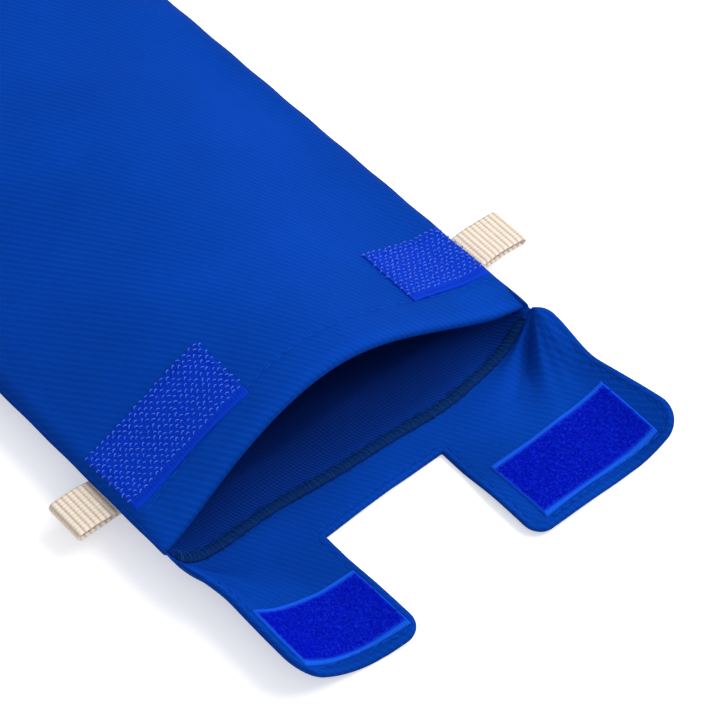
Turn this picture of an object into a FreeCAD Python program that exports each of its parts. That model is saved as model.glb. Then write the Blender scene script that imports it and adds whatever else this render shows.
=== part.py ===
import FreeCAD, Part
import math
import os
import Sketcher
from FreeCAD import Placement, Rotation, Vector

# A quilted cold-handling mitt, lying on its palm with its mouth open and its closing tongue
# unfolded in front of it. Millimetres, +Z up. The origin is on the underside, in the middle of
# the mouth. +Y runs from the mouth to the closed finger end, and +X is the wearer's right.
#
# The mitt is a stack of three nested layers (twill shell, insulation, lining), each split into
# a palm half and a back half by the plane that holds the side seams. The palm shell carries on
# past the mouth as a tongue, which ends in two flaps with loop tape on their upper faces. The
# tongue folds up, the flaps fold over the back, and they grip the hook tapes there.

SIZES = [
    # The body
    ("body_length", 230.0, "mouth to closed end"),
    ("body_width", 116.0, "side seam to side seam"),
    ("end_radius", 44.0, "plan radius of the closed end's corners"),
    ("palm_flat_width", 96.0, "width of the palm's flat underside"),
    ("crown_mouth", 33.0, "height of the back at the mouth"),
    ("crown_end", 17.0, "height of the back at the closed end"),
    ("seam_mouth", 12.0, "height of the side seams at the mouth"),
    ("seam_end", 7.5, "height of the side seams at the closed end"),
    ("lip_retreat", 4.5, "how far the lip's middle lies behind its corners"),
    # The layers
    ("shell_thick", 0.9, "twill shell"),
    ("insulation_thick", 4.0, "insulation"),
    ("lining_thick", 0.6, "lining"),
    ("layer_gap", 0.08, "clearance between layers"),
    ("seam_margin", 4.5, "depth of the sewn edge where palm and back shells meet"),
    ("allowance_width", 4.0, "turned-in cloth beyond the seam"),
    ("allowance_thick", 1.8, "the four turned-in plies, pressed flat"),
    ("insulation_side", 5.0, "insulation beside the hand"),
    ("lining_side", 0.8, "lining beside the hand"),
    ("hem_depth", 12.0, "depth of the facing folded inside the lip"),
    # The mouth and the tongue
    ("body_gap", 0.3, "clearance between parts that move apart"),
    ("tongue_fold_y", 2.0, "the tongue's fold line, in front of the mouth"),
    ("flap_fold_y", 17.5, "the flaps' fold line, in front of the mouth"),
    ("tongue_reach", 48.5, "the flaps' free edge, in front of the mouth"),
    ("tongue_root_width", 114.0, "width of the tongue at its fold line"),
    ("tongue_tip_width", 123.0, "width across the flaps' free ends"),
    ("tongue_ply", 1.2, "thickness of each of the tongue's two plies"),
    ("notch_width", 39.0, "gap between the flaps"),
    ("notch_back_y", 14.5, "back edge of that gap, in front of the mouth"),
    ("flap_outer_radius", 8.0, "plan radius of a flap's outer corner"),
    ("flap_inner_radius", 5.0, "plan radius of a flap's inner corner"),
    ("overlock_depth", 3.0, "the serged edge that joins lining and tongue"),
    ("overlock_height", 2.4, "its height over the shell"),
    ("overlock_width", 92.0, "its length across the mouth"),
    # The hook and loop tapes
    ("tape_width", 20.0, "standard tape width"),
    ("tape_length", 37.0, "tape length, seen from above"),
    ("hook_thick", 1.2, "hook tape"),
    ("hook_start_y", 13.0, "from the mouth corners' line to the hook tapes"),
    ("hook_outer_gap", 1.2, "from the side seam to a hook tape"),
    ("loop_thick", 1.4, "loop tape"),
    ("loop_end_gap", 2.0, "from the flap's free edge to its loop tape"),
    ("loop_side_gap", 3.6, "from the flap's inner edge to its loop tape"),
    # The webbing loops
    ("webbing_width", 12.0, "ribbed webbing"),
    ("webbing_ply", 1.1, "its thickness"),
    ("webbing_eye", 0.9, "gap between the two plies of a loop"),
    ("webbing_reach", 13.0, "how far a loop stands out of the seam"),
    ("webbing_tail", 3.4, "length of its ends inside the seam"),
    ("webbing_start_y", 18.0, "from the mouth corners' line to a loop"),
    ("webbing_root_z", 8.0, "height where a loop leaves the seam"),
    ("webbing_droop", 24.0, "downward slope of a loop at rest, degrees"),
    # Thread
    ("thread_radius", 0.3, "stitch thickness"),
    ("stitch_length", 3.0, "length of one stitch"),
    ("stitch_gap", 1.4, "space between two stitches"),
    ("stitch_inset", 1.7, "from an edge to its row of stitches"),
]

CROWN_POWER = 1.3  # how the back's height falls along the body
ARCH_POWER = 1.6  # how the back's height falls from its crown to the side seams
ARCH_SHARES = (1, 0.8, 0.5, 0, -0.5, -0.8, -1)  # points of an arch, as shares of its half width
LEAD = 4.0  # the lofts start this far in front of the mouth, and are trimmed
TRAIL = 10.0  # and end this far past the closed end
CLEAR = 60.0  # overshoot of the tools that only trim
FAR = 400.0  # beyond the closed end
FLOOR_TRIM = 0.2  # the outside is lofted this much too deep, then trimmed to a plane

doc = FreeCAD.newDocument("mitt")
sheet = doc.addObject("Spreadsheet::Sheet", "sizes")
for row, (alias, number, meaning) in enumerate(SIZES, start=1):
    sheet.set(f"A{row}", alias)
    sheet.set(f"B{row}", str(number))
    sheet.set(f"C{row}", meaning)
    sheet.setAlias(f"B{row}", alias)
scratch = doc.addObject("Spreadsheet::Sheet", "working")
doc.recompute()
SIDES = {"left": -1, "right": 1}
NODES = []


def size(alias):
    """A driving dimension, as the sheet holds it."""
    return float(sheet.get(alias))


def keep(obj, label):
    """Mark an object as one of the mitt's pieces, under the name of its file."""
    obj.Label = label
    NODES.append(obj)
    return obj


# ---------------------------------------------------------------- helpers


def plane_of(body, role):
    """One of a body's own origin planes."""
    return next(f for f in body.Origin.OriginFeatures if f.Role == role)


def polygon_sketch(body, name, role, corners):
    """A closed polygon whose corners are pairs of expressions, on one of the body's planes."""
    sketch = body.newObject("Sketcher::SketchObject", name)
    sketch.AttachmentSupport = [(plane_of(body, role), "")]
    sketch.MapMode = "FlatFace"
    start = [Vector(x, y, 0) for x, y in ((evaluate(a), evaluate(b)) for a, b in corners)]
    count = len(start)
    for i in range(count):
        sketch.addGeometry(Part.LineSegment(start[i], start[(i + 1) % count]), False)
    for i in range(count):
        sketch.addConstraint(Sketcher.Constraint("Coincident", i, 2, (i + 1) % count, 1))
    for i, (x, y) in enumerate(corners):
        for kind, text, number in (("DistanceX", x, start[i].x), ("DistanceY", y, start[i].y)):
            index = sketch.addConstraint(Sketcher.Constraint(kind, i, 1, number))
            sketch.setExpression(f"Constraints[{index}]", bound(text))
    return sketch


def bound(text):
    """The expression with each driving dimension's name tied to the sheet."""
    words = sorted((alias for alias, _, _ in SIZES), key=len, reverse=True)
    out = []
    for token in text.replace("(", " ( ").replace(")", " ) ").split():
        out.append(f"sizes.{token}" if token in words else token)
    return " ".join(out)


def evaluate(text):
    """The value that an expression has now."""
    scratch.set("A1", "=" + bound(text))
    scratch.recompute()
    return float(scratch.get("A1"))


def padded_body(name, role, corners, length, offset=None, middle=False):
    """A body padded from a polygon sketch, moved along its pad by the offset expression."""
    body = doc.addObject("PartDesign::Body", name)
    sketch = polygon_sketch(body, name + "_sketch", role, corners)
    pad = body.newObject("PartDesign::Pad", name + "_pad")
    pad.Profile = sketch
    pad.Midplane = middle
    pad.setExpression("Length", bound(length))
    if offset:
        sketch.setExpression("AttachmentOffset.Base.z", bound(offset))
    doc.recompute()
    return body


def round_corners(body, radii):
    """Fillet the upright edges that stand at the given corners, as {(x, y): radius expression}."""
    for number, ((x, y), radius) in enumerate(radii.items(), start=1):
        tip = body.Tip
        at = Vector(evaluate(x), evaluate(y), 0)
        edges = []
        for index, edge in enumerate(tip.Shape.Edges, start=1):
            ends = [v.Point for v in edge.Vertexes]
            if len(ends) == 2 and all(math.hypot(p.x - at.x, p.y - at.y) < 0.01 for p in ends):
                edges.append(f"Edge{index}")
        fillet = body.newObject("PartDesign::Fillet", f"{body.Name}_round_{number}")
        fillet.Base = (tip, edges)
        fillet.setExpression("Radius", bound(radius))
        doc.recompute()
    return body


def common(base, tool, name):
    """What two objects of the document share."""
    obj = doc.addObject("Part::Common", name)
    obj.Base = base
    obj.Tool = tool
    return obj


def shape_feature(shape, name):
    """A Part::Feature that holds a shape made here from the sheet's sizes."""
    obj = doc.addObject("Part::Feature", name)
    obj.Shape = shape
    return obj


# ---------------------------------------------------------------- the lofted forms


def seam_height(y):
    """The height of the side seams, which lie in one plane."""
    fall = (size("seam_end") - size("seam_mouth")) / size("body_length")
    return size("seam_mouth") + fall * y


def crown_height(y):
    """The height of the back along its middle."""
    along = max(y, 0.0) / size("body_length")
    return size("crown_mouth") - (size("crown_mouth") - size("crown_end")) * along**CROWN_POWER


def section(y, inset, floor, drop):
    """The cross-section at y: a flat floor, sides that curve up to the seams, an arched back."""
    half = size("body_width") / 2 - inset
    flat = size("palm_flat_width") / 2 - 0.75 * inset
    seam, crown = seam_height(y), crown_height(y) - drop
    side = Vector(flat + 0.74 * (half - flat), y, floor + 0.32 * (seam - floor))
    arch = []
    for share in ARCH_SHARES:
        rise = (crown - seam) * (1 - share * share) ** ARCH_POWER
        arch.append(Vector(half * share, y, seam + rise))
    back = Part.BSplineCurve()
    back.interpolate(arch)
    right = Part.Arc(Vector(flat, y, floor), side, arch[0])
    left = Part.Arc(arch[-1], Vector(-side.x, y, side.z), Vector(-flat, y, floor))
    under = Part.LineSegment(Vector(-flat, y, floor), Vector(flat, y, floor))
    return Part.Wire([curve.toShape() for curve in (under, right, back, left)])


def loft(inset, floor, drop):
    """The overlong solid whose sections have that inset, floor level and drop of the back."""
    length = size("body_length")
    places = (-LEAD, length / 2, length + TRAIL)
    return Part.makeLoft([section(y, inset, floor, drop) for y in places], True, False)


def plan(inset, front):
    """An upright prism with the mitt's plan outline, inset all round, from front to its end."""
    half = size("body_width") / 2 - inset
    end = size("body_length") - inset
    corner = Vector(-half, front, -CLEAR)
    block = Part.makeBox(2 * half, end - front, 3 * CLEAR, corner)
    upright = []
    for edge in block.Edges:
        first, last = (v.Point for v in edge.Vertexes)
        if abs(first.z - last.z) > CLEAR and first.y > end - 1:
            upright.append(edge)
    return block.makeFillet(size("end_radius") - inset, upright)


def lip_cutter(behind):
    """The upright cylinder in front of the curved lip, or of a line that far behind the lip."""
    half, retreat = size("body_width") / 2, size("lip_retreat")
    radius = (half**2 + retreat**2) / (2 * retreat)
    centre = Vector(0, retreat - radius + behind, -CLEAR)
    return Part.makeCylinder(radius, 3 * CLEAR, centre)


def seam_slab(low, high):
    """What lies between two levels, both counted from the plane of the side seams."""
    corners = []
    for y, level in ((-CLEAR, low), (FAR, low), (FAR, high), (-CLEAR, high)):
        corners.append(Vector(-size("body_width"), y, seam_height(y) + level))
    face = Part.Face(Part.makePolygon(corners + corners[:1]))
    return face.extrude(Vector(2 * size("body_width"), 0, 0))


def sound(shape, name):
    """The shape, if it is one valid solid or a set of them."""
    if shape.isNull() or not shape.isValid() or not shape.Solids:
        raise RuntimeError(f"{name} has no valid solid")
    return shape


shell, gap = size("shell_thick"), size("layer_gap")
padding, lining = size("insulation_thick"), size("lining_thick")
fold_y, margin = size("tongue_fold_y"), size("seam_margin")
padding_out = margin + size("allowance_width") + 2 * gap
padding_in = padding_out + size("insulation_side")
lining_out = padding_in + gap
lining_in = lining_out + size("lining_side")
LEVELS = {  # each form's inset in plan, where it starts, and its depth below the outside
    "outside": (0.0, -fold_y + size("body_gap"), 0.0),
    "shell_inside": (margin, -CLEAR, shell),
    "padding_outside": (padding_out, fold_y, shell + gap),
    "padding_inside": (padding_in, -CLEAR, shell + gap + padding),
    "lining_outside": (lining_out, fold_y - lining, shell + 2 * gap + padding),
    "hand_space": (lining_in, -CLEAR, shell + 2 * gap + padding + lining),
}
FORMS = {}
for level, (inset, front, depth) in LEVELS.items():
    trim = FLOOR_TRIM if level == "outside" else 0.0
    FORMS[level] = sound(loft(inset, depth - trim, depth).common(plan(inset, front)), level)
palm_side = seam_slab(-CLEAR, 0)


def layer(outside, inside):
    """The palm half and the back half of what lies between two forms."""
    whole = sound(FORMS[outside].cut(FORMS[inside]), outside)
    return whole.common(palm_side), whole.cut(palm_side)


def behind_lip(back, distance):
    """A back half from a given distance behind the lip onwards."""
    return back.cut(lip_cutter(distance))


# ---------------------------------------------------------------- shell, insulation, lining

palm_shell, back_shell = layer("outside", "shell_inside")
ground = Part.makeBox(2 * FAR, 2 * FAR, CLEAR, Vector(-FAR, -CLEAR, -CLEAR))
keep(shape_feature(palm_shell.cut(ground), "shell_palm"), "palm_shell")
keep(shape_feature(behind_lip(back_shell, 0), "shell_back"), "back_shell")

palm_padding, back_padding = layer("padding_outside", "padding_inside")
keep(shape_feature(palm_padding, "insulation_palm"), "palm_insulation")
back_padding = behind_lip(back_padding, shell + gap)
keep(shape_feature(back_padding, "insulation_back"), "back_insulation")

# The palm lining comes down in front of the insulation, to meet the serged edge.
palm_lining, back_lining_whole = layer("lining_outside", "hand_space")
drop_half = size("palm_flat_width") / 2 - padding_out
drop_height = gap + padding
drop_corner = Vector(-drop_half, fold_y - lining, shell + gap)
lining_drop = Part.makeBox(2 * drop_half, lining - gap, drop_height, drop_corner)
keep(shape_feature(palm_lining.fuse(lining_drop), "lining_palm"), "palm_lining")
back_lining = behind_lip(back_lining_whole, size("hem_depth") + gap)
keep(shape_feature(back_lining, "lining_back"), "back_lining")

# The facing is the shell cloth folded inside the lip: a band that lies where the lining would,
# and the rim that closes the insulation's front edge.
hem_band = behind_lip(back_lining_whole, 0).common(lip_cutter(size("hem_depth")))
rim = FORMS["shell_inside"].cut(FORMS["lining_outside"]).cut(palm_side)
rim = behind_lip(rim, 0).common(lip_cutter(shell))
keep(shape_feature(hem_band.fuse(rim), "facing_hem"), "mouth_hem_facing")

# The seam allowance runs down both sides and round the closed end, in the seams' plane. The
# webbing loops' ends are sewn in between its plies.
outer_edge, inner_edge = margin + gap, margin + gap + size("allowance_width")
allowance = plan(outer_edge, size("hem_depth")).cut(plan(inner_edge, -CLEAR))
half_thick = size("allowance_thick") / 2
allowance = allowance.common(seam_slab(-half_thick, half_thick)).common(FORMS["shell_inside"])
tail_y = size("webbing_start_y")
tail_z = seam_height(tail_y + size("webbing_width") / 2) - size("webbing_ply") / 2
tail_size = [size("webbing_tail"), size("webbing_width"), size("webbing_ply")]
for side, sign in SIDES.items():
    outer = size("body_width") / 2 - outer_edge - gap
    left = outer - size("webbing_tail") if sign > 0 else -outer
    tail = Part.makeBox(*tail_size, Vector(left, tail_y, tail_z)).common(FORMS["shell_inside"])
    keep(shape_feature(tail, f"{side}_tail"), f"{side}_webbing_tail")
    pocket_at = Vector(left - gap, tail_y - gap, tail_z - gap)
    allowance = allowance.cut(Part.makeBox(*[edge + 2 * gap for edge in tail_size], pocket_at))
keep(shape_feature(allowance, "allowance"), "seam_allowance")

# The serged edge lies across the mouth, on the palm shell and against the lining.
serged = padded_body(
    "serged_edge",
    "YZ_Plane",
    [
        ("0 - tongue_fold_y + body_gap", "shell_thick + layer_gap"),
        ("tongue_fold_y - lining_thick - layer_gap", "shell_thick + layer_gap"),
        ("tongue_fold_y - lining_thick - layer_gap", "shell_thick + overlock_height"),
        ("0 - tongue_fold_y + body_gap + overlock_depth / 4", "shell_thick + overlock_height"),
        ("0 - tongue_fold_y + body_gap", "shell_thick + overlock_height / 2"),
    ],
    "overlock_width",
    middle=True,
)
keep(serged, "lining_overlock")
doc.recompute()

# ---------------------------------------------------------------- the tongue and its flaps


def half_width_at(y):
    """The expression for half the tongue's width, y in front of the mouth."""
    share = f"( ( {y} - tongue_fold_y ) / ( tongue_reach - tongue_fold_y ) )"
    return f"( ( tongue_root_width + ( tongue_tip_width - tongue_root_width ) * {share} ) / 2 )"


def tongue_ply(name, floor):
    """One ply of the tongue, from its fold line to the flaps' fold line, notched in between."""
    root, end = "tongue_fold_y", "( flap_fold_y - body_gap / 2 )"
    notch = "( notch_width / 2 )"
    wide, narrow = half_width_at(end), half_width_at(root)
    corners = [
        (f"0 - {wide}", f"0 - {end}"),
        (f"0 - {notch}", f"0 - {end}"),
        (f"0 - {notch}", "0 - notch_back_y"),
        (notch, "0 - notch_back_y"),
        (notch, f"0 - {end}"),
        (wide, f"0 - {end}"),
        (narrow, f"0 - {root}"),
        (f"0 - {narrow}", f"0 - {root}"),
    ]
    return padded_body(name, "XY_Plane", corners, "tongue_ply", offset=floor)


def flap_ply(name, sign, floor):
    """One ply of a flap, with rounded free corners."""
    root, end = "( flap_fold_y + body_gap / 2 )", "tongue_reach"
    inner = f"{sign} * notch_width / 2"
    outer_root = f"{sign} * {half_width_at(root)}"
    outer_end = f"{sign} * tongue_tip_width / 2"
    corners = [
        (inner, f"0 - {root}"),
        (inner, f"0 - {end}"),
        (outer_end, f"0 - {end}"),
        (outer_root, f"0 - {root}"),
    ]
    body = padded_body(name, "XY_Plane", corners, "tongue_ply", offset=floor)
    radii = {
        (inner, f"0 - {end}"): "flap_inner_radius",
        (outer_end, f"0 - {end}"): "flap_outer_radius",
    }
    return round_corners(body, radii)


keep(tongue_ply("tongue_lower", "0"), "tongue_shell")
keep(tongue_ply("tongue_upper", "tongue_ply"), "tongue_facing")
for side, sign in SIDES.items():
    keep(flap_ply(f"{side}_flap_lower", sign, "0"), f"{side}_flap_shell")
    keep(flap_ply(f"{side}_flap_upper", sign, "tongue_ply"), f"{side}_flap_facing")

# ---------------------------------------------------------------- hook and loop tapes

raised = loft(0, 0, 0)
raised.translate(Vector(0, 0, size("hook_thick")))
hook_skin = shape_feature(raised.cut(loft(0, 0, 0)), "hook_skin")


def tape_corners(sign, inner, outer, start, end):
    """A rectangle from an inner to an outer distance off the middle, start to end along Y."""
    return [
        (f"{sign} * {inner}", start),
        (f"{sign} * {outer}", start),
        (f"{sign} * {outer}", end),
        (f"{sign} * {inner}", end),
    ]


HOOK_OUTER = "( body_width / 2 - hook_outer_gap )"
HOOK_INNER = "( body_width / 2 - hook_outer_gap - tape_length )"
LOOP_INNER = "( notch_width / 2 + loop_side_gap )"
LOOP_OUTER = "( notch_width / 2 + loop_side_gap + tape_length )"
LOOP_FRONT = "0 - tongue_reach + loop_end_gap"
for side, sign in SIDES.items():
    patch = padded_body(
        f"{side}_hook_patch",
        "XY_Plane",
        tape_corners(sign, HOOK_INNER, HOOK_OUTER, "hook_start_y", "hook_start_y + tape_width"),
        f"crown_mouth + {CLEAR}",
        offset="seam_end",
    )
    keep(common(hook_skin, patch, f"{side}_hooks"), f"{side}_hook_tape")
    loops = padded_body(
        f"{side}_loops",
        "XY_Plane",
        tape_corners(sign, LOOP_INNER, LOOP_OUTER, LOOP_FRONT, LOOP_FRONT + " + tape_width"),
        "loop_thick",
        offset="2 * tongue_ply",
    )
    keep(loops, f"{side}_loop_tape")
doc.recompute()

# ---------------------------------------------------------------- webbing loops


def webbing_outline(sign, along, across):
    """A point of a loop's side view: along the webbing from its root, and across it."""
    slope = math.radians(size("webbing_droop"))
    root = Vector(sign * (size("body_width") / 2 + size("body_gap")), 0, size("webbing_root_z"))
    run = Vector(sign * math.cos(slope), 0, -math.sin(slope))
    up = Vector(sign * math.sin(slope), 0, math.cos(slope))
    return root + run * along + up * across


def webbing_face(sign, back, front, half, nose):
    """A flat strip from back to front, 2 * half thick, with a rounded nose if asked for."""
    low, high = -half, half
    corner = [webbing_outline(sign, *at) for at in ((back, low), (front, low), (front, high))]
    corner.append(webbing_outline(sign, back, high))
    edges = [Part.makeLine(corner[0], corner[1])]
    if nose:
        tip = webbing_outline(sign, front + half, 0)
        edges.append(Part.Arc(corner[1], tip, corner[2]).toShape())
    else:
        edges.append(Part.makeLine(corner[1], corner[2]))
    edges.append(Part.makeLine(corner[2], corner[3]))
    edges.append(Part.makeLine(corner[3], corner[0]))
    return Part.Face(Part.Wire(edges))


def webbing_solid(sign, back, front, half, nose):
    """That strip, as wide as the webbing."""
    face = webbing_face(sign, back, front, half, nose)
    face.translate(Vector(0, size("webbing_start_y"), 0))
    return face.extrude(Vector(0, size("webbing_width"), 0))


ply, eye = size("webbing_ply"), size("webbing_eye")
for side, sign in SIDES.items():
    half = ply + eye / 2
    nose_at = size("webbing_reach") - half
    ring = webbing_solid(sign, 0, nose_at, half, True)
    hole = webbing_solid(sign, 2 * ply, nose_at, eye / 2, True)
    keep(shape_feature(ring.cut(hole), f"{side}_webbing"), f"{side}_webbing_loop")

# ---------------------------------------------------------------- stitching


def stitches(points):
    """Separate stitches along an open path: straight threads laid from point to point."""
    radius, length, space = size("thread_radius"), size("stitch_length"), size("stitch_gap")
    solids = []
    for start, end in zip(points, points[1:]):
        run = end - start
        count = max(int((run.Length + space) / (length + space)), 1)
        step = run.Length / count
        way = Vector(run).normalize()
        for number in range(count):
            foot = start + way * (number * step + space / 2)
            solids.append(Part.makeCylinder(radius, step - space, foot, way))
    return solids


def flat_path(corners, level):
    """Points over a flat face, a thread's radius above it."""
    lift = level + size("thread_radius") + size("layer_gap") / 4
    return [Vector(x, y, lift) for x, y in corners]


def back_level(x, y):
    """The height of the shell's outside over a point in plan."""
    line = Part.makeLine(Vector(x, y, size("seam_end")), Vector(x, y, size("crown_mouth") + CLEAR))
    return FORMS["outside"].common(line).BoundBox.ZMax


def arched_path(plan_points, lift):
    """Points that follow the arched back, a thread's radius above it and the given lift."""
    rise = lift + size("thread_radius") + size("layer_gap") / 2
    return [Vector(x, y, back_level(x, y) + rise) for x, y in plan_points]


def spaced(start, end, step):
    """Numbers from start to end, as even steps of about that length."""
    count = max(round(abs(end - start) / step), 1)
    return [start + (end - start) * n / count for n in range(count + 1)]


inset = size("stitch_inset")
pitch = size("stitch_length") + size("stitch_gap")
half_body = size("body_width") / 2
hem_half = half_body - size("hook_outer_gap") - inset
between_tapes = evaluate(HOOK_INNER) - size("thread_radius")
before_tapes = size("hook_start_y") - 2 * size("thread_radius")
hem_runs = [[]]  # the row breaks off where a hook tape is sewn over it
for x in spaced(-hem_half, hem_half, pitch):
    lip = size("lip_retreat") * (1 - (x / half_body) ** 2)
    y = lip + size("hem_depth") - inset
    if abs(x) < between_tapes or y < before_tapes:
        hem_runs[-1].append((x, y))
    elif hem_runs[-1]:
        hem_runs.append([])
hem_row = []
for run in hem_runs:
    hem_row += stitches(arched_path(run, 0))
keep(shape_feature(Part.makeCompound(hem_row), "hem_row"), "hem_stitching")

reach, fold = size("tongue_reach"), size("flap_fold_y")
for side, sign in SIDES.items():
    inner = sign * (evaluate(HOOK_INNER) + inset)
    outer = sign * (evaluate(HOOK_OUTER) - inset)
    low = size("hook_start_y") + inset
    high = low + size("tape_width") - 2 * inset
    across = spaced(inner, outer, pitch)
    ring = [(x, low) for x in across] + [(outer, y) for y in spaced(low, high, pitch)[1:]]
    ring += [(x, high) for x in across[::-1][1:]] + [(inner, y) for y in spaced(high, low, pitch)[1:]]
    row = stitches(arched_path(ring, size("hook_thick")))
    keep(shape_feature(Part.makeCompound(row), f"{side}_hook_row"), f"{side}_hook_stitching")

    level = 2 * size("tongue_ply") + size("loop_thick")
    inner = sign * (evaluate(LOOP_INNER) + inset)
    outer = sign * (evaluate(LOOP_OUTER) - inset)
    low = evaluate(LOOP_FRONT) + inset
    high = low + size("tape_width") - 2 * inset
    ring = [(inner, low), (outer, low), (outer, high), (inner, high), (inner, low)]
    row = stitches(flat_path(ring, level))
    keep(shape_feature(Part.makeCompound(row), f"{side}_loop_row"), f"{side}_loop_stitching")

    inner_edge = sign * (size("notch_width") / 2 + inset)
    root_y, tip_y = -(fold + 2), -(reach - size("stitch_inset") / 2)
    edge_path = [(inner_edge, root_y), (inner_edge, tip_y + size("flap_inner_radius"))]
    row = stitches(flat_path(edge_path, 2 * size("tongue_ply")))
    keep(shape_feature(Part.makeCompound(row), f"{side}_edge_row"), f"{side}_flap_topstitch")

throat = size("notch_width") / 2 - inset
throat_y = -(size("notch_back_y") - inset)
row = stitches(flat_path([(-throat, throat_y), (throat, throat_y)], 2 * size("tongue_ply")))
keep(shape_feature(Part.makeCompound(row), "throat_row"), "throat_topstitch")

# ---------------------------------------------------------------- checks and files

doc.recompute()
for obj in doc.Objects:
    if {"Invalid", "Error"} & set(obj.State):
        raise RuntimeError(f"{obj.Label} failed: {obj.State}")
os.makedirs("parts", exist_ok=True)
for obj in NODES:
    if obj.Shape.isNull() or not obj.Shape.isValid() or not obj.Shape.Solids:
        raise RuntimeError(f"{obj.Label} has no valid solid")
for obj in NODES:
    obj.Shape.exportStep(f"parts/{obj.Label}.step")
    print(obj.Label, len(obj.Shape.Solids), round(obj.Shape.Volume, 1))
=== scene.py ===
"""The looks of a quilted cold-handling mitt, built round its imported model.

The mitt lies on its palm: +Y runs from its open mouth to the closed end, +X is to the right
and +Z is up. A tongue unfolds in front of the mouth and ends in two flaps with loop tape. Every
length here is in metres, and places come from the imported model's own boxes.
"""

import logging
import math
from dataclasses import dataclass
from enum import Enum
from typing import Callable, Optional, Sequence

import bpy
import numpy as np
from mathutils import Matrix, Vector


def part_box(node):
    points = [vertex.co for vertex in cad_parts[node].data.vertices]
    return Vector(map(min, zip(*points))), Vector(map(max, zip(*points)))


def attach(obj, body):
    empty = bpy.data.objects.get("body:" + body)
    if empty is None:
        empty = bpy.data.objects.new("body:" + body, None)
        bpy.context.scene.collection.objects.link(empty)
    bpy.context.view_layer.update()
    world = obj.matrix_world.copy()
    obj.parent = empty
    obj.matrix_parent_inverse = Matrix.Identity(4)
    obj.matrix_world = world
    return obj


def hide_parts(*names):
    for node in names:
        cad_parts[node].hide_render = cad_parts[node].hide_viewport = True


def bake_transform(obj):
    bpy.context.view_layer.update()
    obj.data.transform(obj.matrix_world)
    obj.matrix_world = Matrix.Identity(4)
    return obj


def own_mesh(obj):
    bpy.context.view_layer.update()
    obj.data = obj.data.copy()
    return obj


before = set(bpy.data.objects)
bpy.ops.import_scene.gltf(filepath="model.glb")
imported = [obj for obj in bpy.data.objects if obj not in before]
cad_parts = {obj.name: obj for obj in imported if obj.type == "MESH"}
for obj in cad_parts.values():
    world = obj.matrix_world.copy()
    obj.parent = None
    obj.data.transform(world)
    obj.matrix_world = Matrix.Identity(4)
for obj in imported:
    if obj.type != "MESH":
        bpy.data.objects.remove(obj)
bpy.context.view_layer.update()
LOG = logging.getLogger("mitt")
MM = 0.001
THINNEST = 0.02 * MM

Array = np.ndarray
Field = Callable[[Array, Array], Array]
Bend = Callable[[Array], Array]


class Side(Enum):
    """The wearer's two sides, with the sign of X on each."""

    LEFT = -1
    RIGHT = 1

    @property
    def word(self) -> str:
        """The side's name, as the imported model's nodes spell it."""
        return self.name.lower()


class Slot(Enum):
    """The record's material slots."""

    TWILL = "twill"
    LINING = "lining"
    INSULATION = "insulation"
    HOOK = "hook_tape"
    LOOP = "loop_tape"
    WEBBING = "webbing"
    THREAD = "thread"
    OVERLOCK = "overlock_thread"


def smooth(low: float, high: float, value: Array) -> Array:
    """A soft step from 0 at low to 1 at high.

    Args:
        low: Where the step starts.
        high: Where the step ends.
        value: The values to map.

    Returns:
        The step's height for each value.
    """
    share = np.clip((value - low) / (high - low), 0, 1)
    return share * share * (3 - 2 * share)


def dome(distance: Array, width: float) -> Array:
    """A quarter-round rise from 0 at an edge to 1 at a width inside it.

    Args:
        distance: How far inside the edge each point is.
        width: Where the rise is complete.

    Returns:
        The share of the full height.
    """
    return np.sqrt(np.clip(1 - (1 - np.clip(distance / width, 0, 1)) ** 2, 0, 1))


def groove(distance: Array, place: float, width: float) -> Array:
    """A bell-shaped mark round a line at a given distance from an edge, 1 on the line."""
    return np.exp(-(((distance - place) / width) ** 2))


# ------------------------------------------------------------------ finishes


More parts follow.
